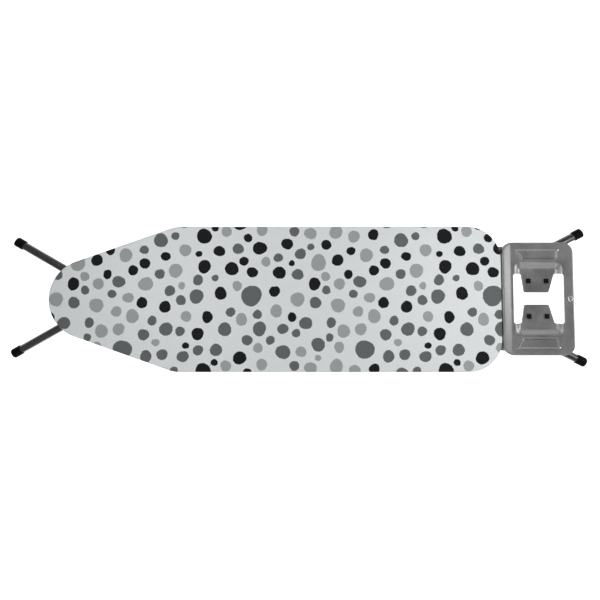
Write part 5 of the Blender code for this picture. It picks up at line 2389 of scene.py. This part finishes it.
@dataclass
class Board:
    """The board itself: rim, channels, panel, pad, cover and the slides below."""

    channels: int = 5

    def build(self, fitter: Fitter) -> None:
        """Build every layer from the frame up.

        Args:
            fitter: Dresses the pieces.
        """
        fitter.fit(self._rim(), Palette.frame, "frame", Body.BOARD, "rim_tube")
        for number in range(1, self.channels + 1):
            fitter.carry_over(f"cross_channel_{number}", Palette.frame, "frame", Body.BOARD)
        for side in Side:
            for node in ("slide_rail_", "pivot_bracket_"):
                fitter.carry_over(node + side.label, Palette.frame, "frame", Body.BOARD)
        panel = MeshPanel()
        diamonds, band = panel.build()
        fitter.fit(diamonds, panel.finish, "mesh", Body.BOARD, "mesh_panel")
        fitter.fit(band, panel.finish, "mesh", Body.BOARD)
        self._build_soft(fitter)

    @staticmethod
    def _rim() -> bpy.types.Object:
        """Steel tube that runs right round under the panel's edge."""
        low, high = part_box("rim_tube")
        radius = 0.0075
        inset = OUTLINE.half_width - high.y + radius
        edge, normals = OUTLINE.points(0.010)
        line = OUTLINE.inset(edge, normals, inset)
        rings = []
        for step in range(24):
            angle = 2 * math.pi * step / 24
            place = line + normals * radius * math.cos(angle)
            height = np.full(len(place), (low.z + high.z) / 2 + radius * math.sin(angle))
            rings.append(np.column_stack((place, np.minimum(height, high.z))))
        return Bench.settle(swept_mesh("rim_hoop", rings, along=True), 40.0)

    @staticmethod
    def _build_soft(fitter: Fitter) -> None:
        """The pad, the elastic and the cover.

        Args:
            fitter: Dresses the pieces.
        """
        pad = Pad()
        felt = fitter.fit(pad.build(), pad.finish, "foam", Body.BOARD, "pad")
        elastic = Elastic()
        cord = fitter.fit(elastic.build(), elastic.finish, "elastic", Body.BOARD,
                          "hem_elastic")
        cover = Cover()
        cloth = fitter.fit(cover.build(), cover.finish, "cotton", Body.BOARD, "cover")
        round(cover.flat_area(), 4)


# ------------------------------------------------------------------ studio


@dataclass(frozen=True)
class Softbox:
    """A square or oblong soft lamp that points at a place on the board."""

    name: str
    place: Point
    size: Pair
    power: float
    aim: Point = (0.0, 0.0, 0.07)

    def hang(self) -> None:
        """Hang the lamp and point it."""
        bpy.ops.object.light_add(type="AREA", location=self.place)
        lamp = bpy.context.active_object
        lamp.name = self.name
        lamp.data.shape = "RECTANGLE"
        lamp.data.size, lamp.data.size_y = self.size
        lamp.data.energy = self.power
        way = Vector(self.aim) - Vector(self.place)
        lamp.rotation_euler = way.to_track_quat("-Z", "Y").to_euler()
        lamp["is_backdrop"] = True


@dataclass(frozen=True)
class SpotLamp:
    """A lamp that brightens one part of the cover, with a soft edge."""

    name: str
    place: Point
    power: float
    reach: float                        # radius of its pool of light on the cover

    def hang(self) -> None:
        """Hang the lamp above its pool of light."""
        bpy.ops.object.light_add(type="SPOT", location=self.place)
        lamp = bpy.context.active_object
        lamp.name = self.name
        lamp.data.energy = self.power
        lamp.data.spot_size = 2 * math.atan(self.reach / self.place[2])
        lamp.data.spot_blend = 1.0
        lamp.data.shadow_soft_size = 0.25
        lamp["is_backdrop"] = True


@dataclass
class Studio:
    """Pale floor, soft lamps and a camera straight above the board."""

    camera_depth: float = 1.5           # from the camera to the cover's top, along its axis
    camera_y: float = 0.12
    sensor: float = 36.0
    lens: float = 33.96
    centre: Pair = (0.0028, -0.00265)
    tilt: float = math.radians(3.3)
    floor_colour: Colour = (0.93, 0.93, 0.93)
    floor_glow: float = 0.95
    floor_z: float = -0.88              # just below the feet when the legs are fully open
    air: float = 0.21
    lamps: tuple[Softbox | SpotLamp, ...] = (
        Softbox("long_box_left", (0.3, 1.25, 1.7), (2.8, 0.55), 12.0),
        Softbox("long_box_right", (0.3, -1.25, 1.7), (2.8, 0.55), 12.0),
        Softbox("end_box", (2.2, 0.0, 1.25), (0.7, 0.6), 9.5, (0.56, 0.0, 0.07)),
        Softbox("top_box", (0.0, 0.0, 2.5), (1.8, 0.8), 6.3),
        SpotLamp("nose_pool", (-0.34, 0.06, 2.1), 19.0, 0.42),
        SpotLamp("tail_pool", (0.47, 0.04, 2.1), 23.0, 0.42),
    )

    def build(self) -> None:
        """Set up the floor, the lamps, the world and the camera."""
        bpy.context.scene.view_settings.view_transform = "Standard"
        self._floor()
        for lamp in self.lamps:
            lamp.hang()
        world = bpy.data.worlds.new("studio_air")
        bpy.context.scene.world = world
        world.use_nodes = True
        background = world.node_tree.nodes["Background"]
        background.inputs["Color"].default_value = (1.0, 1.0, 1.0, 1.0)
        background.inputs["Strength"].default_value = self.air
        self._camera()

    def _floor(self) -> None:
        """A large pale floor that glows a little, so that it reads as white."""
        bpy.ops.mesh.primitive_plane_add(size=12.0, location=(0, 0, self.floor_z))
        floor = Bench.take("studio_floor")
        material = bpy.data.materials.new("studio_floor")
        material.use_nodes = True
        shader = material.node_tree.nodes["Principled BSDF"]
        shader.inputs["Base Color"].default_value = (*self.floor_colour, 1.0)
        shader.inputs["Roughness"].default_value = 0.9
        shader.inputs["Specular IOR Level"].default_value = 0.1
        shader.inputs["Emission Color"].default_value = (1.0, 1.0, 1.0, 1.0)
        shader.inputs["Emission Strength"].default_value = self.floor_glow
        floor.data.materials.append(material)
        floor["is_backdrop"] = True

    def _camera(self) -> None:
        """The camera, looking down with the nose on the left."""
        target = Vector((*self.centre, FRAME_BOX[1][2]))
        forward = Vector((0, math.sin(self.tilt), -math.cos(self.tilt)))
        upward = Vector((0, math.cos(self.tilt), math.sin(self.tilt)))
        rise = (self.camera_depth + (self.camera_y - target.y) * forward.y) / upward.y
        place = Vector((target.x, self.camera_y, target.z + rise))
        bpy.ops.object.camera_add(location=place, rotation=(self.tilt, 0, 0))
        camera = bpy.context.active_object
        camera.data.lens = self.lens
        camera.data.sensor_width = self.sensor
        below = (target - place).dot(upward) / self.camera_depth
        camera.data.shift_y = below * self.lens / self.sensor
        camera.data.clip_start = 0.01
        bpy.context.scene.camera = camera


def plain(box: object) -> list[list[float]]:
    """A box as plain lists of numbers."""
    return [[float(value) for value in corner] for corner in box]


def main() -> None:
    """Build the ironing board and the studio round it."""
    logging.basicConfig(level=logging.INFO, format="%(name)s: %(message)s")
    fitter = Fitter(Effects())
    Board().build(fitter)
    IronRest().build(fitter)
    InnerLeg("inner", Body.INNER_LEG, -1, 0.030, 0.1545, math.radians(29.5),
             math.radians(-1.2)).build(fitter)
    OuterLeg("outer", Body.OUTER_LEG, 1, 0.057, 0.1785, math.radians(26.5),
             math.radians(1.2)).build(fitter)
    HeightAdjuster().build(fitter)
    Studio().build()
    {"frame": plain(FRAME_BOX), "scene": plain(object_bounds())}


if __name__ == "__main__":
    main()
